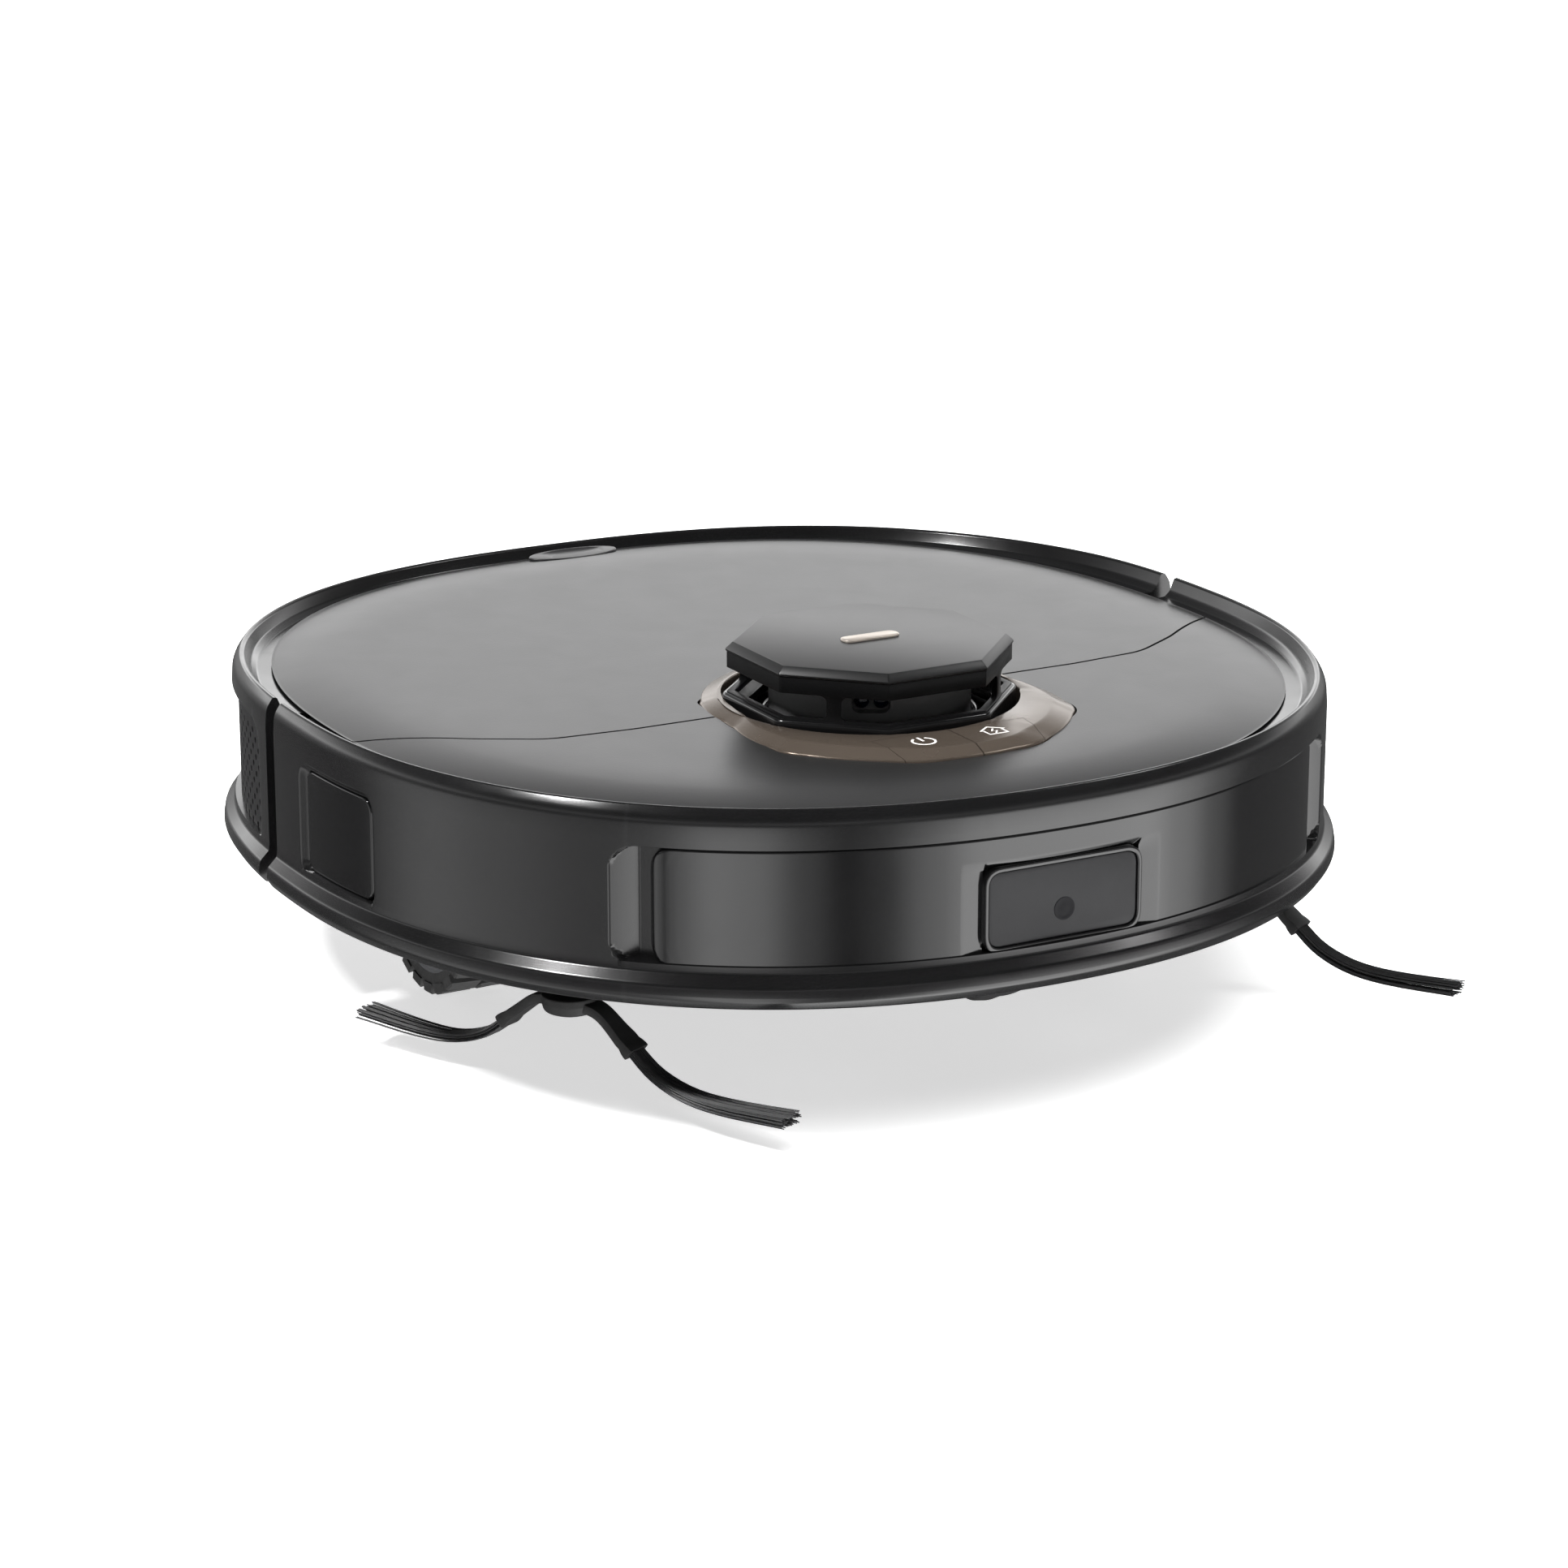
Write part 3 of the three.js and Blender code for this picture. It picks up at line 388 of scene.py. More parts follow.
GLOSS = surface("gloss_black_plastic", (0.004, 0.004, 0.0042), 0.14, grain=0.003, grain_size=1.6,
                spread=0.03, scratches=0.15)
RIM = surface("gloss_black_wall", (0.0045, 0.0045, 0.0047), 0.2, grain=0.0025, grain_size=0.7, spread=0.02,
              drift=0.08)
COVER = surface("satin_graphite_cover", (0.01, 0.01, 0.0103), 0.36, grain=0.02, grain_size=0.75,
                spread=0.008, drift=0.05, wear=0.05, shine=1.0)
WINDOW = surface("infrared_window", (0.003, 0.003, 0.0032), 0.13, grain=0.0015, grain_size=3.0, spread=0.02,
                 scratches=0.08)
MATT = surface("grained_black_plastic", (0.012, 0.012, 0.0125), 0.5, grain=0.04, grain_size=0.5,
               shine=0.25)
CAP = surface("satin_black_cap", (0.006, 0.006, 0.0062), 0.34, grain=0.0015, grain_size=0.45, drift=0.04,
              spread=0.006, wear=0.05, shine=0.36)
BAND = surface("grained_turret_band", (0.005, 0.005, 0.0052), 0.36, grain=0.03, grain_size=0.35,
               spread=0.03, shine=0.12)
DRUM = surface("satin_drum", (0.13, 0.13, 0.132), 0.36, grain=0.006, grain_size=0.5, spread=0.03, shine=0.3)
TRIM = surface("champagne_trim", (0.1, 0.08, 0.064), 0.26, metallic=0.6, shine=0.3, grain=0.003,
               grain_size=0.5, drift=0.04, spread=0.015, wear=0.02)
BADGE = surface("pale_bronze_badge", (0.55, 0.49, 0.43), 0.32, metallic=0.8, grain=0.02, grain_size=0.3)
GREY = surface("grey_moulding", (0.06, 0.062, 0.066), 0.5, grain=0.05, grain_size=0.5)
BOARD = surface("green_circuit_board", (0.015, 0.085, 0.04), 0.4, grain=0.08, grain_size=2.0, drift=0.4,
                patch=220)
RUBBER = surface("black_rubber", (0.01, 0.01, 0.01), 0.55, grain=0.04, grain_size=0.35, drift=0.25,
                 shine=0.3)
TREAD = surface("dusty_tread_rubber", (0.016, 0.016, 0.016), 0.66, grain=0.08, grain_size=0.5, drift=0.35,
                patch=90)
BRISTLE = surface("nylon_bristle", (0.014, 0.014, 0.0145), 0.38, grain=0.03, grain_size=0.2, drift=0.3,
                  patch=400)
STEEL = surface("brushed_steel", (0.5, 0.5, 0.51), 0.28, metallic=1.0, grain=0.01, grain_size=0.2)
BRASS = surface("turned_brass", (0.6, 0.45, 0.2), 0.3, metallic=1.0, grain=0.01, grain_size=0.2)
ICON = surface("pale_print", (0.62, 0.6, 0.58), 0.5, grain=0.01, grain_size=0.3, drift=0.04)
GLASS = surface("lens_glass", (0.004, 0.005, 0.014), 0.05, grain=0.002, grain_size=2.0, spread=0.01,
                coat=0.5)
BEZEL = surface("camera_glass", (0.022, 0.022, 0.023), 0.25, grain=0.002, grain_size=1.5, spread=0.02,
                shine=0.08)

EYE = surface("camera_lens_glass", (0.006, 0.006, 0.007), 0.15, grain=0.002, grain_size=2.0, spread=0.01,
              shine=0.06)

SLOT_MATERIALS = {
    "gloss_black": GLOSS, "window_black": WINDOW, "satin_cover": COVER, "matt_black": MATT,
    "trim_metal": TRIM, "badge_metal": BADGE, "grey_plastic": GREY, "circuit_board": BOARD,
    "rubber": RUBBER, "tread_rubber": TREAD, "bristle": BRISTLE, "steel": STEEL, "brass": BRASS,
}
for entry in frame["record"]["subparts"]:
    node = frame["nodes"][entry["node"]]
    node.data.materials.clear()
    node.data.materials.append(SLOT_MATERIALS[entry["material_slot"]])

# ------------------------------------------------------------------ bumper and rear shell
# The section of both shells, as (half width, height, corner radius). The wall's rows are added.
WALL_FOOT_H = 31.0
WINDOW_LOW_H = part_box("front_window")[0].z / MM - RIDE - 0.3
WINDOW_HIGH_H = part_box("front_window")[1].z / MM - RIDE + 0.3
INNER_R = 165.2


def shell_section(recess_rows):
    """Section points, and for each whether recesses may sink it."""
    foot = fillet([
        (INNER_R, 24, 0), (168.6, 20.9, 1.0), (172.6, 20.6, 1.8), (LIP_R, 24.2, 2.6),
        (LIP_R - 0.6, 27.9, 2.6), (WALL_R + 0.25, WALL_FOOT_H, 1.8), (WALL_R, 33.2, 0),
    ], closed=False, steps=7)
    wall = [(WALL_R, h) for h in recess_rows]
    head = fillet([
        (WALL_R, 71.5, 0), (170.6, 77.5, 7), (168.2, CREST_H, 1.3), (166.7, CREST_H - 0.4, 0.9),
        (165.0, 76.4, 3), (163.0, 74.7, 1.6), (155.2, 74.4, 0.3), (155.2, 73.1, 0.3), (163.0, 72.9, 1),
        (INNER_R, 71.0, 0),
    ], closed=False, steps=7)
    inner = [(INNER_R, h) for h in np.linspace(66, 26, 5)]
    outline = foot + wall + head + inner
    return np.array(outline), len(foot), len(foot) + len(wall)


def make_shell(name, runs, recess, rows, drop=0.0):
    """The section swept along runs of the wall. Round the back, its crest is drop lower."""
    outline, first, last = shell_section(rows)
    points = np.zeros((len(runs), len(outline), 3))
    for j, (r, h) in enumerate(outline):
        radii = np.full(len(runs), r)
        if first <= j < last:
            radii = radii - recess(runs, h)
        spots = wall_point(runs, np.full(len(runs), h), radii)
        spots[:, 2] -= drop * ease((spots[:, 1] - 40) / 90) * ease((h - 74.5) / 3)
        points[:, j] = spots
    return loft(name, points, smooth=40)


def wall_rows(edges):
    return stations(33.4, 71.2, 2.4, edges, reach=2.2, fine=0.35)


bumper_end = run_at(WALL_R, BUMPER_END_Y)
front_half = run_at(126.0, -125.4)  # the front recess ends here on each side
lens_half = run_at(118.0, -134.0)
FRONT_DEPTH = 5.7
RAMP = 8.0
sensor_low, sensor_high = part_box("wall_sensor_window")[0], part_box("wall_sensor_window")[1]
sensor_front = run_at(-WALL_R, sensor_low.y / MM)
sensor_back = run_at(-WALL_R, sensor_high.y / MM)
SENSOR_RUN = (sensor_front + sensor_back) / 2
SENSOR_HALF = abs(sensor_back - sensor_front) / 2
SENSOR_H = (sensor_low.z + sensor_high.z) / 2 / MM - RIDE
SENSOR_HALF_H = (sensor_high.z - sensor_low.z) / 2 / MM
FRONT_H = (WINDOW_LOW_H + WINDOW_HIGH_H) / 2
FRONT_HALF_H = (WINDOW_HIGH_H - WINDOW_LOW_H) / 2


def bumper_recess(s, h):
    edge = inside_rounded(s, h - FRONT_H, front_half, FRONT_HALF_H, 8.5)
    side = np.clip((front_half - np.abs(s)) / RAMP, 0, 1)
    front = FRONT_DEPTH * np.minimum(ease(edge / 1.6), side)
    around = inside_rounded(s - SENSOR_RUN, h - SENSOR_H, SENSOR_HALF + 3.2, SENSOR_HALF_H + 3.0, 6.5)
    sensor = 1.9 * ease(around / 2.6) + 2.2 * ease((around - 2.6) / 0.7)
    return np.maximum(front, sensor)


edges = [-front_half, front_half, -front_half + RAMP, front_half - RAMP, SENSOR_RUN - SENSOR_HALF - 2,
         SENSOR_RUN + SENSOR_HALF + 2]
bumper_runs = stations(-bumper_end, bumper_end, 3.0, edges, reach=6.0, fine=0.5)
bumper_rows = wall_rows([WINDOW_LOW_H + 1, 38, WINDOW_HIGH_H - 1, 63, SENSOR_H - SENSOR_HALF_H - 1.5,
                         SENSOR_H + SENSOR_HALF_H + 1.5])
bumper = make_shell("bumper_shell", bumper_runs, bumper_recess, bumper_rows)
finish_piece(bumper, RIM, "bumper", "gloss_black", "bumper")

# The rear shell runs round the back, from the left side to the right.
shell_start = run_at(WALL_R, SHELL_START_Y)
grille_low, grille_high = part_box("exhaust_grille_left")


def run_of_y(y):
    """Run of the left side's wall point at this y, for the rear half."""
    spots = np.where((_y > 0) & (_x > 0) & (_run > 0))[0]
    return float(np.interp(y, _y[spots], _run[spots]))


GRILLE_START = run_of_y(grille_low.y / MM)
GRILLE_END = run_of_y(grille_high.y / MM)
GRILLE_RUN = (GRILLE_START + GRILLE_END) / 2
GRILLE_HALF = (GRILLE_END - GRILLE_START) / 2
GRILLE_H = (grille_low.z + grille_high.z) / 2 / MM - RIDE
GRILLE_HALF_H = (grille_high.z - grille_low.z) / 2 / MM


def rear_recess(s, h):
    mirrored = np.where(s > WALL_LENGTH / 2, WALL_LENGTH - s, s)
    edge = inside_rounded(mirrored - GRILLE_RUN, h - GRILLE_H, GRILLE_HALF + 3, GRILLE_HALF_H + 2.6, 10)
    return 1.6 * ease(edge / 3.2) + 3.2 * ease((edge - 3.0) / 0.7)


rear_edges = []
for middle in (GRILLE_RUN, WALL_LENGTH - GRILLE_RUN):
    rear_edges += [middle - GRILLE_HALF - 1, middle + GRILLE_HALF + 1, middle - GRILLE_HALF + 6,
                   middle + GRILLE_HALF - 6]
rear_runs = stations(shell_start, WALL_LENGTH - shell_start, 3.0, rear_edges, reach=4.5, fine=0.5)


REAR_DROP = 1.0
rear_rows = wall_rows([GRILLE_H - GRILLE_HALF_H - 1, GRILLE_H + GRILLE_HALF_H + 1, 38, 61])
rear = make_shell("rear_wall_shell", rear_runs, rear_recess, rear_rows, REAR_DROP)
finish_piece(rear, RIM, "base", "gloss_black", "rear_shell")


# ------------------------------------------------------------------ panes set into the wall
def make_pane(name, surface_point, half_s, half_h, radius, edge=0.5, depth=3.0, dense=(), sink=None):
    """A pane with rounded corners and softened edges. surface_point(s, h, sunk) places it, where s and
    h are measured from its middle and sunk is how deep a point lies below its face."""
    bends = [sign * (half_h - radius * k) for sign in (-1, 1) for k in (0, 0.25, 0.5, 0.75)]
    rows = stations(-half_h, half_h, 2.5, bends, reach=1.4, fine=0.3)
    columns = np.concatenate([
        -half_s + np.array([0, 0.15, 0.35, 0.6, 1.0, 1.6]),
        stations(-half_s + 2.4, half_s - 2.4, 3.0, dense, reach=6, fine=0.6),
        half_s - np.array([1.6, 1.0, 0.6, 0.35, 0.15, 0]),
    ])
    share = columns / half_s
    s_grid = np.zeros((len(rows), len(share)))
    h_grid = np.zeros_like(s_grid)
    for i, h in enumerate(rows):
        over = max(0.0, abs(h) - (half_h - radius))
        room = half_s - radius + math.sqrt(max(0.0, radius ** 2 - over ** 2))
        s_grid[i] = share * room
        h_grid[i] = h
    inward = inside_rounded(s_grid, h_grid, half_s, half_h, radius)
    drop = edge - np.sqrt(np.maximum(0, edge ** 2 - np.clip(edge - inward, 0, edge) ** 2))
    if sink is not None:
        drop = drop + sink(s_grid, h_grid)
    face = surface_point(s_grid, h_grid, drop)
    back = surface_point(s_grid, h_grid, np.full_like(drop, depth))
    count = s_grid.size
    top = grid_faces(*s_grid.shape)
    faces = top + [tuple(i + count for i in f[::-1]) for f in top]
    rows_n, columns_n = s_grid.shape
    rim = list(range(columns_n))
    rim += [i * columns_n + columns_n - 1 for i in range(1, rows_n)]
    rim += [(rows_n - 1) * columns_n + j for j in range(columns_n - 2, -1, -1)]
    rim += [i * columns_n for i in range(rows_n - 2, 0, -1)]
    for a, b in zip(rim, rim[1:] + rim[:1]):
        faces.append((a, b, b + count, a + count))
    points = np.concatenate([face.reshape(-1, 3), back.reshape(-1, 3)])
    return new_object(name, points, faces, smooth=50)


def on_wall(middle_s, middle_h, face_r):
    def surface_point(s, h, sunk):
        spots = wall_point((s + middle_s).ravel(), (h + middle_h).ravel(), (face_r - sunk).ravel())
        return spots.reshape(*s.shape, 3)
    return surface_point


camera_low, camera_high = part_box("camera_module")
CAMERA_H = (camera_low.z + camera_high.z) / 2 / MM - RIDE
CAMERA_HALF = (camera_high.x - camera_low.x) / 2 / MM
CAMERA_HALF_H = (camera_high.z - camera_low.z) / 2 / MM
CAMERA_Y = camera_low.y / MM
LENS_R = 170.3


def camera_pocket(s, h):
    """The window dips gently towards the camera's sides, and more steeply to pass behind it."""
    v = h + FRONT_H - CAMERA_H
    tall = ease((CAMERA_HALF_H + 1.1 - np.abs(v)) / 0.9)
    gentle = 1.3 * np.clip((CAMERA_HALF + 6.9 - np.abs(s)) / 6.5, 0, 1)
    behind = 3.0 * ease((CAMERA_HALF + 0.2 - np.abs(s)) / 0.8)
    turned_in = np.clip(1 - (lens_half - np.abs(s)) / 6.0, 0, 1)
    return np.maximum(np.maximum(gentle, behind) * tall, 2.6 * turned_in ** 2)


window = make_pane(
    "front_window_pane", on_wall(0, FRONT_H, LENS_R), lens_half, FRONT_HALF_H - 0.35, 7.5, edge=0.9,
    depth=4.0, sink=camera_pocket,
    dense=[-CAMERA_HALF - 6, -CAMERA_HALF, CAMERA_HALF, CAMERA_HALF + 6, 3 - lens_half, lens_half - 3],
)
finish_piece(window, WINDOW, "bumper", "window_black", "front_window")

sensor = make_pane("wall_sensor_pane", on_wall(SENSOR_RUN, SENSOR_H, WALL_R - 1.5), SENSOR_HALF,
                   SENSOR_HALF_H, 4.5, edge=0.6, depth=2.4)
finish_piece(sensor, WINDOW, "bumper", "window_black", "wall_sensor_window")


# ------------------------------------------------------------------ camera
def front_loop(outline, y, middle_h=CAMERA_H):
    return [(a, y, b + middle_h) for a, b in outline]


def camera_loops(grow, depth):
    outline = rounded_rect(CAMERA_HALF + grow, CAMERA_HALF_H + grow, 6.0 + grow, steps=8)
    return front_loop(outline, CAMERA_Y + depth)


bezel = loft("camera_bezel", [
    camera_loops(0, 4.8), camera_loops(0, 0.5), camera_loops(-0.15, 0.15), camera_loops(-0.5, 0.0),
    camera_loops(-1.3, 0.0), camera_loops(-1.5, 0.15), camera_loops(-1.6, 1.2), camera_loops(-1.7, 4.8),
], smooth=40, closed=True)
finish_piece(bezel, GLOSS, "bumper", "gloss_black", "camera_module")
glass = loft("camera_glass", [
    camera_loops(-1.75, 4.4), camera_loops(-1.75, 0.9), camera_loops(-1.9, 0.7), camera_loops(-2.1, 0.65),
], smooth=40)
finish_piece(glass, BEZEL, "bumper", "window_black")
LENS_SPOT = (0.5, 42.8)
eye = []
for r, y in [(3.6, 0.62), (3.55, 0.5), (2.9, 0.5), (2.5, 0.62), (1.4, 0.5), (0.4, 0.45)]:
    ring = [(LENS_SPOT[0] + r * math.cos(t), CAMERA_Y + y, LENS_SPOT[1] + r * math.sin(t))
            for t in np.linspace(0, 2 * math.pi, 40, endpoint=False)]
    eye.append(ring)
finish_piece(loft("camera_lens", eye, smooth=30), EYE, "bumper", "window_black")

# ------------------------------------------------------------------ exhaust grilles
for name, middle in (("left", GRILLE_RUN), ("right", WALL_LENGTH - GRILLE_RUN)):
    panel = make_pane(f"grille_panel_{name}", on_wall(middle, GRILLE_H, WALL_R - 1.9), GRILLE_HALF - 0.4,
                      GRILLE_HALF_H - 0.4, 7.5, edge=0.5, depth=1.6)
    holes = []
    PITCH_S, PITCH_H, HOLE_R = 3.5, 5.6, 1.05
    rows = int((2 * GRILLE_HALF_H - 5) / PITCH_H) + 1
    columns = int((2 * GRILLE_HALF - 8) / PITCH_S) + 1
    for column in range(columns):
        for row in range(rows):
            s = (column - (columns - 1) / 2) * PITCH_S
            h = (row - (rows - 1) / 2) * PITCH_H + (PITCH_H / 4 if column % 2 else -PITCH_H / 4)
            if inside_rounded(np.array(s), np.array(h), GRILLE_HALF, GRILLE_HALF_H, 8) < 3.2:
                continue
            ring = np.linspace(0, 2 * math.pi, 10, endpoint=False)
            u = middle + s + HOLE_R * np.cos(ring)
            v = GRILLE_H + h + HOLE_R * np.sin(ring)
            out = wall_point(u, v, np.full(10, WALL_R + 2))
            back = wall_point(u, v, np.full(10, WALL_R - 8))
            holes.append(loft("hole", [back, out]))
    boolean(panel, join("holes", holes))
    shade(panel.data, 40)
    finish_piece(panel, MATT, "base", "matt_black", f"exhaust_grille_{name}")

# ------------------------------------------------------------------ covers
def cover_height(r):
    """The covers' top: a shallow dome that rolls over towards its edge."""
    return 79.0 - 1.15 * (r / 150) ** 2 - 2.6 * max(0, (r - 130) / 27.7) ** 2.2


COVER_SECTION = [(r, cover_height(r)) for r in (
    0.4, 20, 40, 60, 75, 90, 102, 112, 122, 130, 138,
    141, 144, 146.5, 149, 151, 153, 154.6, 156, 157, 157.4,
)]
COVER_SECTION += fillet([
    (COVER_R, 75.3, 0), (COVER_R, 75.0, 0.15), (155.5, 74.85, 0.5), (142, 75.5, 20), (112, 76.2, 40),
    (60, 76.9, 40), (0.4, 77.0, 0),
], closed=False, steps=6)
SEAM = fillet([
    (0, -53.5, 0), (80, -51.8, 60), (108, -48.6, 26), (127, -37, 40), (155, -14.5, 60), (230, 45, 0),
], closed=False, steps=8)
REAR_REACH = 4.5  # how much further back the cover reaches behind the middle
REAR_RISE = 1.5  # and how much it rises
PULL_X, PULL_Y = 4.0, 162.3  # middle of the lip that the cover is lifted by
PULL_HALF, PULL_REACH = 17.0, 6.8
TRIM_HALF = [(21, -127, 24), (53.2, -97.5, 15), (52.8, -62, 60), (49.4, -35.5, 6), (18, -5, 4)]


def full_trim(grow, steps=5):
    corners = []
    for x, y, radius in TRIM_HALF:
        reach = 1 if y > TURRET_Y else -1
        corners.append((x + grow, y + 0.9 * grow * reach, max(0.5, radius + grow)))
    corners += [(-x, y, radius) for x, y, radius in reversed(corners)]
    return fillet(corners, steps=steps)


def cover_skin():
    turns = np.linspace(0, 2 * math.pi, 240, endpoint=False)
    loops = []
    for r, h in COVER_SECTION:
        x, y = plan(turns, r)
        back = np.clip(y, 0, None) / (COVER_R * LENGTH_RATIO)
        loops.append(np.stack([x, y + REAR_REACH * back ** 2, h + REAR_RISE * back ** 2], axis=-1))
    return loft("cover", loops, smooth=30)


def pull_lip():
    """A thin lip at the rear edge, its rim a little raised."""
    turns = np.linspace(0, 2 * math.pi, 72, endpoint=False)
    loops = []
    for grow, h in ((-1.2, 77.4), (-0.3, 77.45), (0, 77.8), (0, 78.3), (-0.25, 78.55), (-0.8, 78.6)):
        half, reach = PULL_HALF + grow, PULL_REACH + grow
        loops.append([(PULL_X + half * math.cos(t), PULL_Y + reach * math.sin(t), h) for t in turns])
    return loft("lip", loops)


def pull_dish():
    outline = [(0.01, 77.9), (4, 77.95), (8, 78.15), (11, 78.55), (13.4, 79.25), (14.5, 80.5), (0.01, 80.5)]
    dish = lathe("dish", outline, steps=64)
    for vertex in dish.data.vertices:
        vertex.co.x += PULL_X * MM
        vertex.co.y = vertex.co.y * 0.34 + (PULL_Y + 1.8) * MM
    return dish


def seam_block(rear):
    shift = 0.6 if rear else -0.6
    edge = 260 if rear else -260
    right = [(x, y + shift) for x, y in SEAM]
    outline = [(-x, y) for x, y in right[:0:-1]] + right + [(230, edge), (-230, edge)]
    return slab("seam", outline, 60, 95)


def make_cover(name, rear):
    cover = cover_skin()
    boolean(cover, seam_block(rear), "INTERSECT")
    boolean(cover, slab("trim_hole", full_trim(0.45), 60, 95))
    if rear:
        boolean(cover, pull_lip(), "UNION")
        boolean(cover, pull_dish())
    shade(cover.data, 30)
    cover.name = name
    return cover


finish_piece(make_cover("front_cover_skin", False), COVER, "base", "satin_cover", "front_cover")
finish_piece(make_cover("rear_cover_skin", True), COVER, "cover", "satin_cover", "rear_cover")

# ------------------------------------------------------------------ trim and keys
HOLE_APOTHEM = 44.6


def seen_from_turret(outline, h, rays=240):
    """The points of an outline that evenly spaced rays from the turret's axis meet."""
    spots = np.array(outline, float) - [0, TURRET_Y]
    angles = np.unwrap(np.arctan2(spots[:, 1], spots[:, 0]))
    angles = np.append(angles, angles[0] + 2 * math.pi)
    radii = np.hypot(spots[:, 0], spots[:, 1])
    radii = np.append(radii, radii[0])
    turns = angles[0] + np.linspace(0, 2 * math.pi, rays, endpoint=False)
    reach = np.interp(turns, angles, radii)
    first = int(round((-math.pi / 2 - angles[0]) / (2 * math.pi) * rays)) % rays
    loop = [(r * math.cos(t), TURRET_Y + r * math.sin(t), h) for r, t in zip(reach, turns)]
    return loop[first:] + loop[:first]


def trim_loop(grow, h):
    return seen_from_turret(full_trim(grow, steps=12), h)


def hole_loop(apothem, h):
    return seen_from_turret([(x, y + TURRET_Y) for x, y in octagon(apothem, 6.0, 8)], h)


def make_trim():
    return loft("trim", [
        trim_loop(0, 75), trim_loop(0, 78.3), trim_loop(-0.25, 78.8), trim_loop(-0.8, 79.15),
        trim_loop(-4.6, TRIM_TOP_H - 0.35), trim_loop(-5.2, TRIM_TOP_H - 0.08), trim_loop(-5.9, TRIM_TOP_H),
        hole_loop(HOLE_APOTHEM + 0.7, TRIM_TOP_H), hole_loop(HOLE_APOTHEM + 0.2, TRIM_TOP_H - 0.15),
        hole_loop(HOLE_APOTHEM, TRIM_TOP_H - 0.6), hole_loop(HOLE_APOTHEM, 75),
    ], smooth=40, closed=True)


key_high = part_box("home_button")[1]
KEY_BACK = key_high.y / MM
KEY_WIDE = key_high.x / MM


def key_block(side, grow, h0=60.0):
    outline = [
        (0.25 - grow, KEY_BACK + grow), (KEY_WIDE + grow, KEY_BACK + grow),
        (KEY_WIDE - 4.2 + grow, -136), (0.25 - grow, -136),
    ]
    if side < 0:
        outline = [(-x, y) for x, y in outline[::-1]]
    return slab("key_block", outline, h0, 95)


trim = make_trim()
for side in (1, -1):
    boolean(trim, key_block(side, 0.2))
trim.name = "trim_surround"
shade(trim.data, 35)
finish_piece(trim, TRIM, "base", "trim_metal", "trim_bezel")
for name, side in (("home", 1), ("power", -1)):
    key = make_trim()
    boolean(key, key_block(side, 0, 76.0), "INTERSECT")
    key.name = f"{name}_key_top"
    shade(key.data, 35)
    finish_piece(key, TRIM, f"{name}_key", "trim_metal", f"{name}_button")


def ribbon(spots, width, h0, h1, closed=False):
    """A flat printed line along spots of (x, y)."""
    spots = [np.array(p, float) for p in spots]
    count = len(spots)
    left, right = [], []
    for i, spot in enumerate(spots):
        before = spots[i - 1] if (closed or i > 0) else spot
        after = spots[(i + 1) % count] if (closed or i < count - 1) else spot
        along = (after - before) / max(1e-9, np.linalg.norm(after - before))
        normal = np.array([-along[1], along[0]]) * width / 2
        left.append(spot + normal)
        right.append(spot - normal)
    loops = []
    for a, b in zip(left, right):
        loops.append([(a[0], a[1], h0), (b[0], b[1], h0), (b[0], b[1], h1), (a[0], a[1], h1)])
    return loft("ribbon", loops, smooth=30, closed=closed)


PRINT_H = (TRIM_TOP_H - 0.02, TRIM_TOP_H + 0.06)
ICON_Y = -113.9


def power_icon(x):
    turns = np.linspace(0.55, 2 * math.pi - 0.55, 28)
    arc = [(x + 3.6 * math.sin(t), ICON_Y + 3.6 * math.cos(t)) for t in turns]
    bar = [(x, ICON_Y + 4.2), (x, ICON_Y)]
    return join("power_icon", [ribbon(line, 0.75, *PRINT_H) for line in (arc, bar)])


def home_icon(x):
    house = [(-3.2, -3.4), (-3.2, 0.6), (-4.3, 0.6), (0, 4.2), (4.3, 0.6), (3.2, 0.6), (3.2, -3.4)]
    house = [(x + a, ICON_Y + b) for a, b in house]
    bolt = [(x + a, ICON_Y + b) for a, b in ((0.7, 1.8), (-0.9, -0.5), (0.9, -0.5), (-0.6, -2.6))]
    return join("home_icon", [ribbon(house, 0.7, *PRINT_H, closed=True), ribbon(bolt, 0.6, *PRINT_H)])


finish_piece(power_icon(-13.0), ICON, "power_key", "badge_metal")
finish_piece(home_icon(11.8), ICON, "home_key", "badge_metal")


# ------------------------------------------------------------------ turret
def turret_loop(apothem, h, radius=1.6, steps=3):
    return [(x, y + TURRET_Y, h) for x, y in octagon(apothem, radius, steps)]


CAP_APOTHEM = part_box("turret_cap")[1].x / MM
cap = loft("cap_top", [turret_loop(CAP_APOTHEM - inset, h, 1.0) for inset, h in (
    (3.0, 96.0), (0.5, 96.0), (0.1, 96.15), (0, 96.4), (0, CAP_TOP_H - 2.3), (0.12, CAP_TOP_H - 2.05),
    (1.95, CAP_TOP_H - 0.2), (2.12, CAP_TOP_H - 0.06), (2.4, CAP_TOP_H),
)], smooth=22)
finish_piece(cap, CAP, "turret", "matt_black", "turret_cap")
badge = loft("cap_bar", [
    [(x, y + TURRET_Y, CAP_TOP_H + rise) for x, y in rounded_rect(10 - k, 3 - k, 2.9 - k)]
    for k, rise in ((0, -0.1), (0, 0.4), (0.15, 0.6), (0.45, 0.7))
], smooth=40)
finish_piece(badge, BADGE, "turret", "badge_metal", "cap_badge")

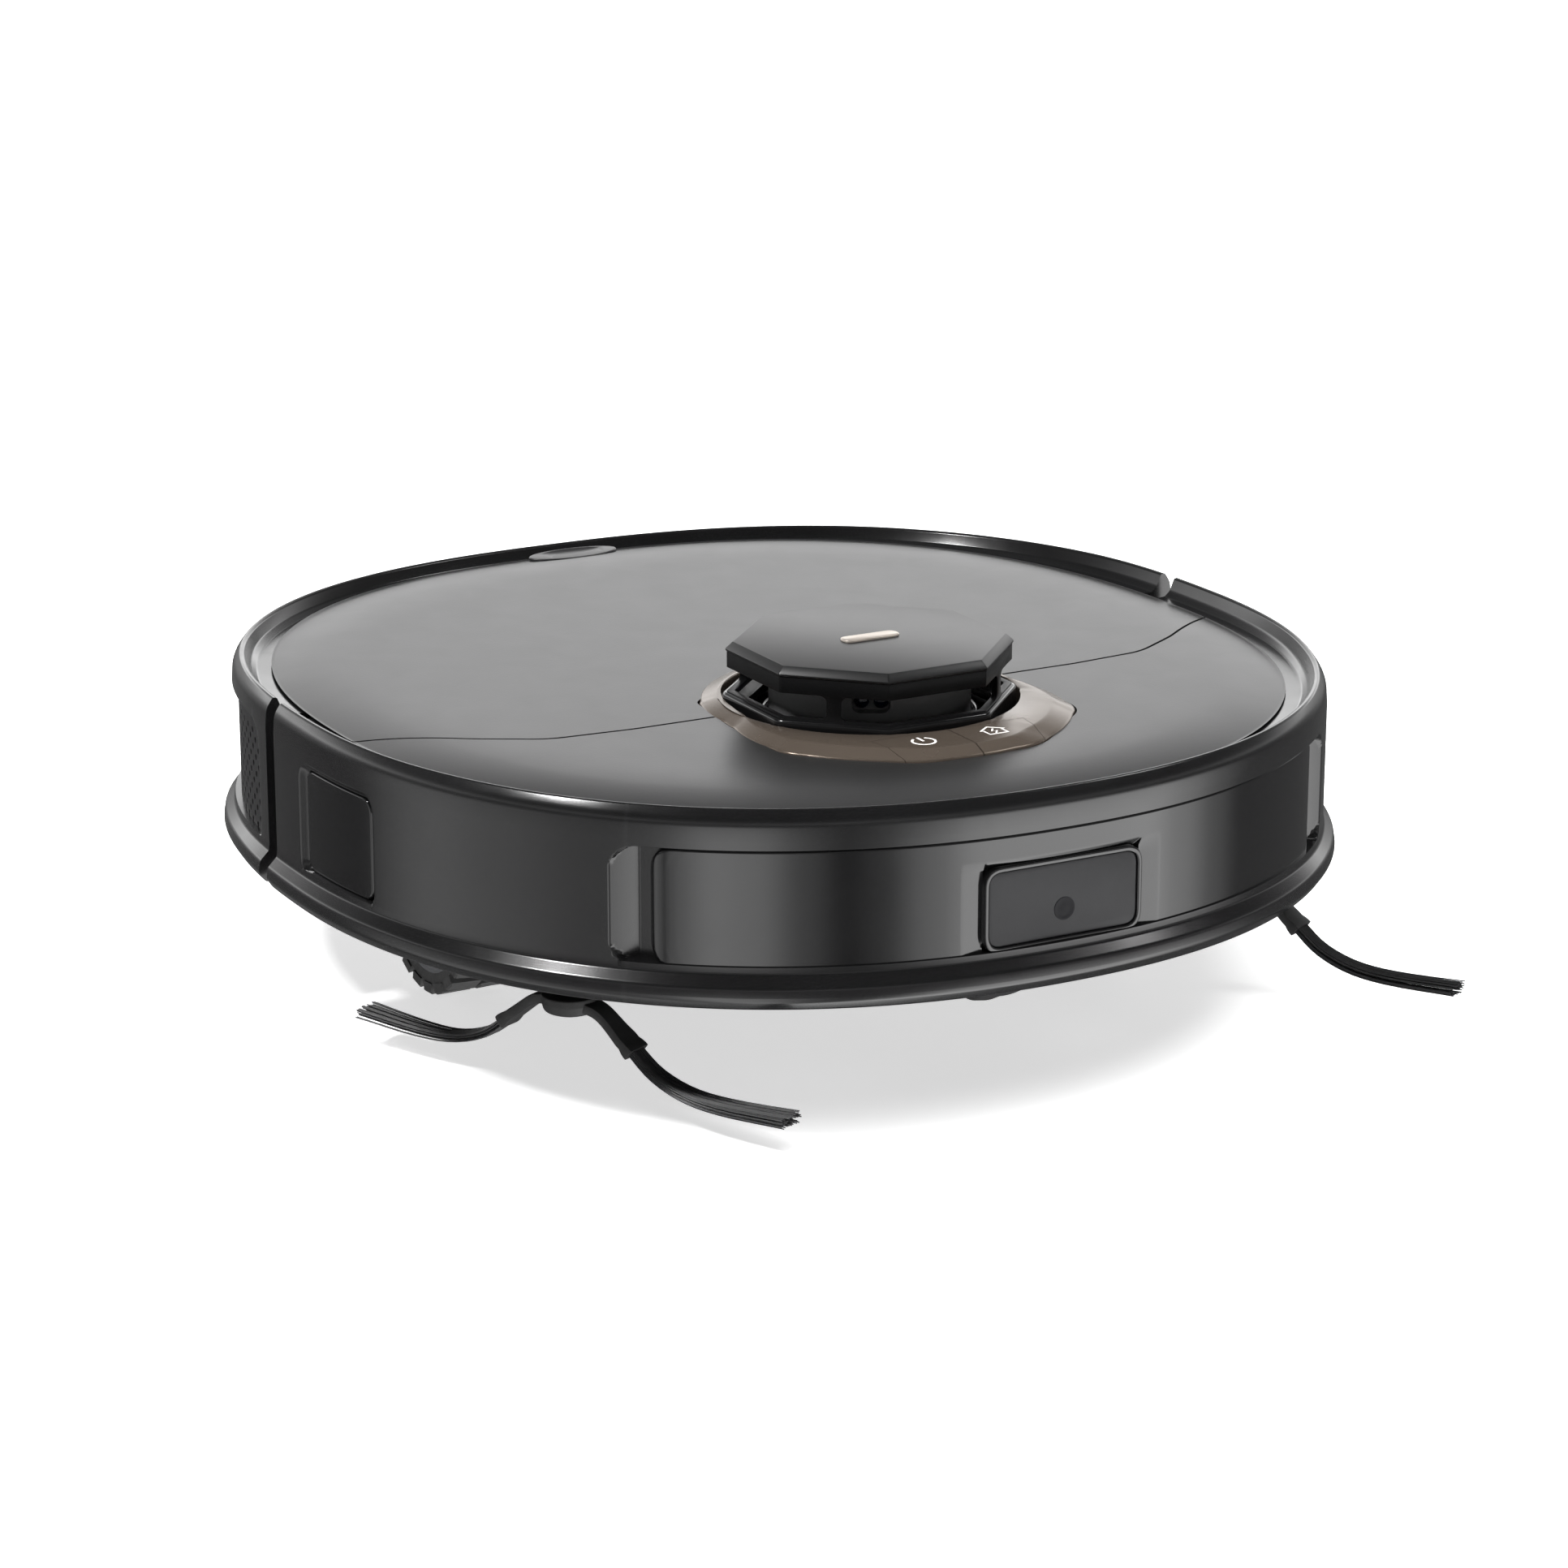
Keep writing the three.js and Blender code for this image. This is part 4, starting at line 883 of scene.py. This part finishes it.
# The frame is a band under the cap, a pillar on each diagonal face and a low rail between them.
FRAME_APOTHEM = CAP_APOTHEM - 0.35
FRAME_WALL = 2.3
SILL_H, HEAD_H = 83.0, 90.8
turret_frame = loft("turret_frame", [
    turret_loop(FRAME_APOTHEM, 80.8, 1.4), turret_loop(FRAME_APOTHEM, 95.95, 1.4),
], smooth=22)
boolean(turret_frame, loft("pocket", [
    turret_loop(FRAME_APOTHEM - FRAME_WALL, 80.0, 2), turret_loop(FRAME_APOTHEM - FRAME_WALL, HEAD_H, 2),
]))
boolean(turret_frame, lathe("inner", [(34.5, 60), (34.5, HEAD_H + 1.2)], steps=72, centre=(0, TURRET_Y, 0)))
window_outline = [(a, b + (SILL_H + HEAD_H) / 2) for a, b in rounded_rect(28.0, (HEAD_H - SILL_H) / 2, 2.2)]
boolean(turret_frame, cutter(window_outline, (TURRET_Y - 60, TURRET_Y + 60), "y"))
boolean(turret_frame, cutter([(a + TURRET_Y, b) for a, b in window_outline], (-60, 60), "x"))
bevel(turret_frame, 0.3, 2, 35)
shade(turret_frame.data, 28)
finish_piece(turret_frame, BAND, "turret", "matt_black", "turret_cage")

# The skirt round the frame's foot has a rounded lip, and inside it a dish falls to the drum.
skirt = loft("turret_skirt", [
    turret_loop(a, h, radius) for a, h, radius in (
        (43.1, 76, 5), (43.5, 76.4, 5), (43.5, 81.6, 5), (43.3, 82.2, 5), (42.8, 82.6, 5), (42.1, 82.7, 5),
        (41.4, 82.5, 5), (40.6, 81.9, 5), (38.0, 80.0, 9), (36.9, 79.2, 12), (36.9, 76, 12),
    )
], smooth=40, closed=True)
finish_piece(skirt, GLOSS, "turret", "matt_black")

ROTOR_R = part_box("lidar_rotor")[1].x / MM
rotor = lathe("rotor", fillet([
    (0.3, 66, 0), (26, 67, 0), (26, 71.5, 0), (ROTOR_R, 74.6, 1), (ROTOR_R, 89.9, 0.8), (0.3, 90.0, 0),
], closed=False), steps=96, centre=(0, TURRET_Y, 0))
SLOT_H = 86.6
SLOT_TURN = math.radians(-29)  # the drum rests with its lens slot towards the right-hand front


def on_drum(x, y, h):
    """A place measured from the drum's axis, with the slot along -Y."""
    c, s = math.cos(SLOT_TURN), math.sin(SLOT_TURN)
    return x * c - y * s, TURRET_Y + x * s + y * c, h


slot_outline = rounded_rect(6.0, 3.4, 2.8)
boolean(rotor, loft("slot", [[on_drum(a, y, b + SLOT_H) for a, b in slot_outline] for y in (-40, -27.5)]))
rotor.name = "rotor_drum"
shade(rotor.data, 35)
finish_piece(rotor, DRUM, "rotor", "gloss_black", "lidar_rotor")
for k, x in enumerate((-2.9, 3.1)):
    rings = []
    for r, y in ((2.3, -27.6), (2.3, -28.6), (1.9, -29.3), (1.1, -29.7), (0.3, -29.9)):
        rings.append([on_drum(x + r * math.cos(t), y, SLOT_H - 0.4 + r * math.sin(t))
                      for t in np.linspace(0, 2 * math.pi, 32, endpoint=False)])
    finish_piece(loft(f"rotor_lens_{k + 1}", rings), GLASS, "rotor", "gloss_black")

# A dished floor ring round the drum, seen through the cage's windows.
dish = lathe("turret_dish", fillet([
    (33.2, 73.4, 0), (33.2, 76.0, 0.5), (34.0, 76.4, 0.5), (36.5, 73.6, 0.4), (36.5, 73.0, 0),
    (34.5, 73.0, 0),
], closed=False), steps=72, centre=(0, TURRET_Y, 0))
finish_piece(dish, GLOSS, "base", "gloss_black")


# ------------------------------------------------------------------ drive wheels
TYRE_R = (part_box("drive_tyre_left")[1].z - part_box("drive_tyre_left")[0].z) / 2 / MM
BLOCKS = 22


def turned(points, angle, y, h):
    c, s = math.cos(angle), math.sin(angle)
    return [(x, y + a * c - b * s, h + a * s + b * c) for x, a, b in points]


for name in ("left", "right"):
    low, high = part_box(f"drive_tyre_{name}")
    x_mid, y_mid, h_mid = [(low[i] + high[i]) / 2 / MM for i in range(3)]
    h_mid -= RIDE
    half = (high.x - low.x) / 2 / MM
    side = 1 if x_mid > 0 else -1
    pieces = [lathe("carcass", fillet([
        (25.2, -half + 1, 0), (28.6, -half + 0.4, 1), (29.4, -half + 2.4, 1), (29.4, half - 2.4, 1),
        (28.6, half - 0.4, 1), (25.2, half - 1, 0),
    ], closed=False), steps=88, axis="x", centre=(x_mid, y_mid, h_mid))]
    for i in range(BLOCKS):
        angle = i / BLOCKS * 2 * math.pi
        for row, (x0, x1, lean) in enumerate(((-half, -0.7, 0.9), (0.7, half, -0.9))):
            turn = angle + (row - 0.5) * math.pi / BLOCKS
            loops = []
            for r, trim_in in ((28.2, 0), (TYRE_R - 0.75, 0), (TYRE_R - 0.2, 0.5)):
                w = 2.9 - trim_in
                a0, a1 = x0 + trim_in, x1 - trim_in
                loops.append([(x_mid + a0, -w + lean, r), (x_mid + a1, -w - lean, r),
                              (x_mid + a1, w - lean, r), (x_mid + a0, w + lean, r)])
            loops = [turned([(x, a, b) for x, a, b in loop], turn, y_mid, h_mid) for loop in loops]
            pieces.append(loft("block", loops))
    tyre = join(f"tyre_{name}", pieces)
    shade(tyre.data, 30)
    finish_piece(tyre, TREAD, f"wheel_{name}", "tread_rubber", f"drive_tyre_{name}")
    out = half * side
    rim = lathe("rim", fillet([
        (0.4, -side * 10, 0), (12, -side * 10.5, 1), (25.0, -side * 10, 0.5), (25.0, out - side * 0.8, 0.6),
        (22.8, out - side * 0.8, 0.8), (21.6, out - side * 4.6, 1.5), (10.5, out - side * 4.6, 1.5),
        (9.2, out - side * 0.6, 0.8), (4.2, out - side * 0.6, 0.5), (3.6, out - side * 2.4, 0.3),
        (0.4, out - side * 2.4, 0),
    ], closed=False), steps=72, axis="x", centre=(x_mid, y_mid, h_mid))
    rim.name = f"rim_{name}"
    finish_piece(rim, GREY, f"wheel_{name}", "grey_plastic", f"drive_rim_{name}")

# ------------------------------------------------------------------ side brushes
ARM_PATH = [(5, 8), (12, 6.6), (19, 1.6), (25.2, -3.3)]
TUFT_PATH = [(24.6, -3.0), (33, -9), (45, -12.8), (60, -13.6), (83.2, -12.2)]
STRANDS = 70
ROUND = ((1, 0), (0, 1), (-1, 0), (0, -1))  # the four sides of a hair


def smooth_path(spots, count):
    """Catmull-Rom points through (r, h) spots."""
    spots = np.array([spots[0], *spots, spots[-1]], float)
    result = []
    pieces = len(spots) - 3
    for i in range(count):
        t = i / (count - 1) * pieces
        k = min(int(t), pieces - 1)
        t -= k
        a, b, c, d = spots[k:k + 4]
        result.append(0.5 * (2 * b + (c - a) * t + (2 * a - 5 * b + 4 * c - d) * t * t
                             + (3 * b - a - 3 * c + d) * t ** 3))
    return np.array(result)


def strand(path, start, end, bow, width):
    """One bristle: start and end are its (across, up) places in the tuft."""
    loops = []
    count = len(path)
    for i, (r, h) in enumerate(path):
        u = i / (count - 1)
        spread = u ** 1.6
        across = start[0] + (end[0] - start[0]) * spread + bow * math.sin(math.pi * u)
        up = start[1] + (end[1] - start[1]) * spread
        ahead = path[min(i + 1, count - 1)] - path[max(i - 1, 0)]
        ahead = ahead / np.linalg.norm(ahead)
        centre = (r - ahead[1] * up, across, h + ahead[0] * up)
        w = width * (1 - 0.35 * u)
        loops.append([(centre[0] - ahead[1] * dz * w, centre[1] + dy * w, centre[2] + ahead[0] * dz * w)
                      for dy, dz in ROUND])
    return loops


def spun(loops, angle, x, y):
    c, s = math.cos(angle), math.sin(angle)
    return [[(x + a * c - b * s, y + a * s + b * c, h) for a, b, h in loop] for loop in loops]


def make_tuft(angle, x, y):
    parts = []
    for _ in range(STRANDS):
        across = random.uniform(-1, 1)
        up = random.uniform(-1, 1)
        path = smooth_path(TUFT_PATH, 16)
        path[:, 0] = path[0, 0] + (path[:, 0] - path[0, 0]) * random.uniform(0.985, 1.0)
        start = (2.7 * across, 1.3 * up)
        end = (4.9 * across + random.uniform(-0.15, 0.15), 1.7 * up + random.uniform(-0.15, 0.15))
        loops = strand(path, start, end, random.uniform(-0.12, 0.12), 0.3)
        parts.append(loft("strand", spun(loops, angle, x, y)))
    return join("tuft", parts)


for name in ("left", "right"):
    low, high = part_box(f"side_brush_{name}")
    x_mid, y_mid = (low.x + high.x) / 2 / MM, (low.y + high.y) / 2 / MM
    pieces = [lathe("hub", fillet([
        (0.3, 3.9, 0), (2.2, 3.9, 0.3), (2.6, 4.6, 0.3), (5.6, 4.4, 0.8), (8.2, 5.4, 1.5), (9.0, 8.2, 1.5),
        (9.0, 10.5, 0.5), (4.1, 10.6, 0.2), (4.0, 19.8, 0.3), (0.3, 19.8, 0),
    ], closed=False), steps=48, centre=(x_mid, y_mid, 0))]
    for end_name, degrees in (("front", -65), ("rear", 115)):
        angle = math.radians(degrees)
        path = smooth_path(ARM_PATH, 18)
        loops = []
        for i, (r, h) in enumerate(path):
            u = i / 17
            socket = float(ease((u - 0.8) * 8))  # the arm's end, where it holds its tuft
            half_width = 4.0 + 0.4 * socket
            if u < 0.8:
                half_width = 4.6 - 1.2 * math.sin(math.pi * min(1, u * 1.15))
            half_thick = 1.7 + 0.5 * socket
            ahead = path[min(i + 1, 17)] - path[max(i - 1, 0)]
            ahead = ahead / np.linalg.norm(ahead)
            outline = rounded_rect(half_width, half_thick, 1.1, steps=2)
            loops.append([(r - ahead[1] * b, a, h + ahead[0] * b) for a, b in outline])
        pieces.append(loft("arm", spun(loops, angle, x_mid, y_mid), smooth=40))
        tuft = make_tuft(angle, x_mid, y_mid)
        tuft.name = f"{name}_tuft_{end_name}"
        shade(tuft.data, 60)
        finish_piece(tuft, BRISTLE, f"side_brush_{name}", "bristle",
                     f"side_brush_{name}_bristles_{end_name}")
    arms = join(f"brush_arms_{name}", pieces)
    shade(arms.data, 40)
    finish_piece(arms, RUBBER, f"side_brush_{name}", "rubber", f"side_brush_{name}")

# ------------------------------------------------------------------ downward sensors
def underside_height(x, y):
    """The chassis underside rises towards its edge."""
    power = FRONT_POWER if y < 0 else REAR_POWER
    r = (abs(x) ** power + abs(y / LENGTH_RATIO) ** power) ** (1 / power)
    return UNDERSIDE_H + 7 * min(1, max(0, (r - 140) / 19))


for place_name in ("front_left", "front_right", "side_left", "side_right"):
    low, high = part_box(f"cliff_sensor_{place_name}")
    x_mid, y_mid = (low.x + high.x) / 2 / MM, (low.y + high.y) / 2 / MM
    half_x, half_y = (high.x - low.x) / 2 / MM, (high.y - low.y) / 2 / MM
    loops = [[(x_mid + a, y_mid + b, 20) for a, b in rounded_rect(half_x, half_y, 1.8)]]
    for grow, out in ((0, 0.1), (-0.3, 0.4), (-1.6, 0.4), (-1.8, -0.2)):
        ring = rounded_rect(half_x + grow, half_y + grow, 1.8 + grow / 2)
        ring = [(x_mid + a, y_mid + b) for a, b in ring]
        loops.append([(x, y, underside_height(x, y) - out) for x, y in ring])
    eye_frame = loft(f"downward_sensor_{place_name}", loops, smooth=35)
    finish_piece(eye_frame, MATT, "base", "window_black", f"cliff_sensor_{place_name}")

# ------------------------------------------------------------------ caster
low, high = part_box("caster_fork")
caster_y = (low.y + high.y) / 2 / MM
fork = lathe("fork", fillet([
    (0.3, 4.8, 0), (10.6, 4.8, 2), (16.4, 8.2, 3), (18.2, 12.4, 2), (18.2, 31, 1), (4, 31, 0.5),
    (4, 36, 0.5), (0.3, 36, 0),
], closed=False), steps=72, centre=(0, caster_y, 0))
low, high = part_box("caster_wheel")
wheel_y, wheel_h = (low.y + high.y) / 2 / MM, (low.z + high.z) / 2 / MM - RIDE
wheel_slot = [(a, b + 8) for a, b in rounded_rect(8.3, 21, 2.5)]
boolean(fork, cutter(wheel_slot, (wheel_y - 14.9, wheel_y + 14.9), "y"))
fork.name = "caster_dome"
shade(fork.data, 35)
finish_piece(fork, MATT, "caster_swivel", "matt_black", "caster_fork")
roller = lathe("caster_roller_tyre", fillet([
    (0.3, -11.4, 0), (1.5, -11.4, 0.2), (1.5, -7.6, 0.2), (6, -7.4, 0.3), (7, -6.6, 0.3), (10.4, -6.8, 0.5),
    (13.2, -5.2, 2.5), (14, 0, 8), (13.2, 5.2, 2.5), (10.4, 6.8, 0.5), (7, 6.6, 0.3), (6, 7.4, 0.3),
    (1.5, 7.6, 0.2), (1.5, 11.4, 0.2), (0.3, 11.4, 0),
], closed=False), steps=72, axis="x", centre=(0, wheel_y, wheel_h))
finish_piece(roller, RUBBER, "caster_roller", "rubber", "caster_wheel")

# ------------------------------------------------------------------ main brush
low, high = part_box("brush_blades")
brush_y, brush_h = (low.y + high.y) / 2 / MM, (low.z + high.z) / 2 / MM - RIDE
brush_half = high.x / MM
blade_parts = [lathe("sleeve", fillet([
    (12.2, -brush_half, 0), (14.0, -brush_half, 0.5), (14.0, brush_half, 0.5), (12.2, brush_half, 0),
], closed=True), steps=48, axis="x", centre=(0, brush_y, brush_h))]
FINS = 5
for i in range(FINS):
    loops = []
    for x in np.linspace(-brush_half, brush_half, 61):
        turn = i / FINS * 2 * math.pi + 1.1 * (1 - abs(x) / brush_half)
        outline = [(-1.3, 13.4), (-1.0, 15.0), (-0.7, 19.2), (-0.3, 19.8),
                   (0.3, 19.8), (0.7, 19.2), (1.0, 15.0), (1.3, 13.4)]
        loops.append(turned([(x, a, b) for a, b in outline], turn, brush_y, brush_h))
    blade_parts.append(loft("fin", loops, smooth=40))
    for x in np.arange(-brush_half + 2, brush_half - 1, 2.6):
        turn = (i + 0.5) / FINS * 2 * math.pi + 1.1 * (1 - abs(x) / brush_half)
        for k in range(3):
            tilt = random.uniform(-0.06, 0.06)
            dx = random.uniform(-0.9, 0.9)
            loops = []
            for r, w in ((13.6, 0.28), (17, 0.24), (19.6, 0.16)):
                middle = x + dx + (r - 13.6) * tilt
                ring = [(middle + a * w, b * w + (k - 1) * 0.7, r) for a, b in ROUND]
                loops.append(turned(ring, turn, brush_y, brush_h))
            blade_parts.append(loft("hair", loops))
blades = join("roller_blades", blade_parts)
shade(blades.data, 45)
finish_piece(blades, BRISTLE, "main_brush", "bristle", "brush_blades")

# ------------------------------------------------------------------ stage, lights and camera
def stage_floor():
    """A pale floor that glows a little, so that shadows stay faint, and is clear from below. The walls
    don't mirror it: they mirror the studio's standing lights, which reach down past the floor's level."""
    reach = 6.0
    mesh = bpy.data.meshes.new("floor")
    mesh.from_pydata([(-reach, -reach, 0), (reach, -reach, 0), (reach, reach, 0), (-reach, reach, 0)], [],
                     [(0, 1, 2, 3)])
    floor = bpy.data.objects.new("floor", mesh)
    bpy.context.scene.collection.objects.link(floor)
    paper = surface("pale_floor", (0.86, 0.86, 0.86), 0.7, grain=0.01, grain_size=3.0, drift=0.01, wear=0.0)
    shader = paper.node_tree.nodes["Principled BSDF"]
    shader.inputs["Emission Color"].default_value = (1, 1, 1, 1)
    shader.inputs["Emission Strength"].default_value = 0.6
    nodes, links = paper.node_tree.nodes, paper.node_tree.links
    facing = nodes.new("ShaderNodeNewGeometry")
    one_sided = nodes.new("ShaderNodeMixShader")
    links.new(facing.outputs["Backfacing"], one_sided.inputs[0])
    links.new(shader.outputs["BSDF"], one_sided.inputs[1])
    links.new(nodes.new("ShaderNodeBsdfTransparent").outputs["BSDF"], one_sided.inputs[2])
    links.new(one_sided.outputs["Shader"], nodes["Material Output"].inputs["Surface"])
    mesh.materials.append(paper)
    floor.visible_glossy = False
    floor.visible_shadow = False


stage_floor()


def area_light(name, where, aim, size, power, size_y=None, mirrored=True):
    data = bpy.data.lights.new(name, "AREA")
    data.shape = "RECTANGLE"
    data.size = size
    data.size_y = size_y or size
    data.energy = power
    light = bpy.data.objects.new(name, data)
    light.location = where
    light.rotation_euler = (Vector(aim) - Vector(where)).to_track_quat("-Z", "Y").to_euler()
    light.visible_camera = False
    light.visible_glossy = mirrored
    bpy.context.scene.collection.objects.link(light)


def softbox(name, azimuth, elevation, size, radiance):
    """A small square light at a direction from the body, azimuth 0 in front and positive to the left."""
    turn, rise = math.radians(azimuth), math.radians(elevation)
    distance = 1.5
    where = (math.sin(turn) * math.cos(rise) * distance, -math.cos(turn) * math.cos(rise) * distance,
             math.sin(rise) * distance)
    area_light(name, where, (0, 0, 0.06), size, radiance * math.pi * size ** 2)


area_light("overhead", (0.1, -0.2, 2.2), (0, 0, 0), 3.2, 150, mirrored=False)
softbox("left_box", -90, 50, 0.15, 210)
softbox("right_box", 66, 50, 0.3, 10)

# The studio all round. Above the floor's level it is a backdrop, given as (height of the direction,
# radiance), times its share at each azimuth in degrees. Below that level stand the feet of strip lights,
# given as (azimuth in degrees, radiance).
BACKDROP = [(0.0, 0.5), (0.1, 1.0), (0.2, 3.6), (0.28, 2.2), (0.35, 0.8), (0.45, 0.4), (0.62, 0.13)]
BACKDROP_SHARE = [
    (-180, 1.0), (-155, 0.8), (-125, 0.4), (-90, 0.2), (-60, 0.18), (60, 0.18), (85, 0.25), (105, 0.5),
    (125, 1.0), (180, 1.0),
]
STRIPS = [
    (-180, 0.2), (-140, 0.12), (-113, 1.3), (-98, 1.1), (-69, 0.6), (-56, 0.9), (-42, 3.1), (-33, 2.7),
    (-21, 0.9), (-12, 0.12), (-4, 0.5), (7, 2.3), (18, 4.6), (48, 4.6), (58, 2.6), (68, 0.9), (77, 0.2),
    (110, 0.15), (135, 0.12), (180, 0.2),
]
BRIGHTEST = 5.0


def smooth_greys(nodes, stops):
    return color_ramp(nodes, [(position, [grey] * 3) for position, grey in stops], "EASE")


def make_studio():
    world = bpy.data.worlds.new("studio")
    world.use_nodes = True
    nodes, links = world.node_tree.nodes, world.node_tree.links
    towards = nodes.new("ShaderNodeTexCoord")
    split = nodes.new("ShaderNodeSeparateXYZ")
    links.new(towards.outputs["Generated"], split.inputs["Vector"])
    ahead = nodes.new("ShaderNodeMath")
    ahead.operation = "MULTIPLY"
    ahead.inputs[1].default_value = -1
    links.new(split.outputs["Y"], ahead.inputs[0])
    azimuth = nodes.new("ShaderNodeMath")
    azimuth.operation = "ARCTAN2"
    links.new(split.outputs["X"], azimuth.inputs[0])
    links.new(ahead.outputs[0], azimuth.inputs[1])
    share = add_node(nodes, "MapRange", From_Min=-math.pi, From_Max=math.pi)
    links.new(azimuth.outputs[0], share.inputs["Value"])
    strips = smooth_greys(nodes, [((a + 180) / 360, v / BRIGHTEST) for a, v in STRIPS])
    links.new(share.outputs["Result"], strips.inputs["Fac"])
    sides = smooth_greys(nodes, [((a + 180) / 360, v) for a, v in BACKDROP_SHARE])
    links.new(share.outputs["Result"], sides.inputs["Fac"])
    rising = smooth_greys(nodes, [(z, v / BRIGHTEST) for z, v in BACKDROP])
    links.new(split.outputs["Z"], rising.inputs["Fac"])
    upper = nodes.new("ShaderNodeMix")
    upper.data_type = "RGBA"
    upper.blend_type = "MULTIPLY"
    upper.inputs[0].default_value = 1
    links.new(rising.outputs["Color"], upper.inputs[6])
    links.new(sides.outputs["Color"], upper.inputs[7])
    below = add_node(nodes, "MapRange", From_Min=-0.02, From_Max=-0.16)
    links.new(split.outputs["Z"], below.inputs["Value"])
    both = nodes.new("ShaderNodeMix")
    both.data_type = "RGBA"
    links.new(below.outputs["Result"], both.inputs[0])
    links.new(upper.outputs[2], both.inputs[6])
    links.new(strips.outputs["Color"], both.inputs[7])
    links.new(both.outputs[2], nodes["Background"].inputs["Color"])
    nodes["Background"].inputs["Strength"].default_value = BRIGHTEST
    bpy.context.scene.world = world


make_studio()
bpy.context.scene.view_settings.view_transform = "Standard"

CAMERA_AZIMUTH = math.radians(-28.76)
CAMERA_ELEVATION = math.radians(16.73)
CAMERA_DISTANCE = 1.496
TARGET = Vector((0.001, 0, 0.0354 + RIDE * MM))
camera_data = bpy.data.cameras.new("camera")
camera_data.lens = 104.25
camera_data.sensor_width = 36
camera = bpy.data.objects.new("camera", camera_data)
direction = Vector((
    math.sin(CAMERA_AZIMUTH) * math.cos(CAMERA_ELEVATION),
    -math.cos(CAMERA_AZIMUTH) * math.cos(CAMERA_ELEVATION),
    math.sin(CAMERA_ELEVATION),
))
camera.location = TARGET + direction * CAMERA_DISTANCE
camera.rotation_euler = (-direction).to_track_quat("-Z", "Y").to_euler()
bpy.context.scene.collection.objects.link(camera)
bpy.context.scene.camera = camera
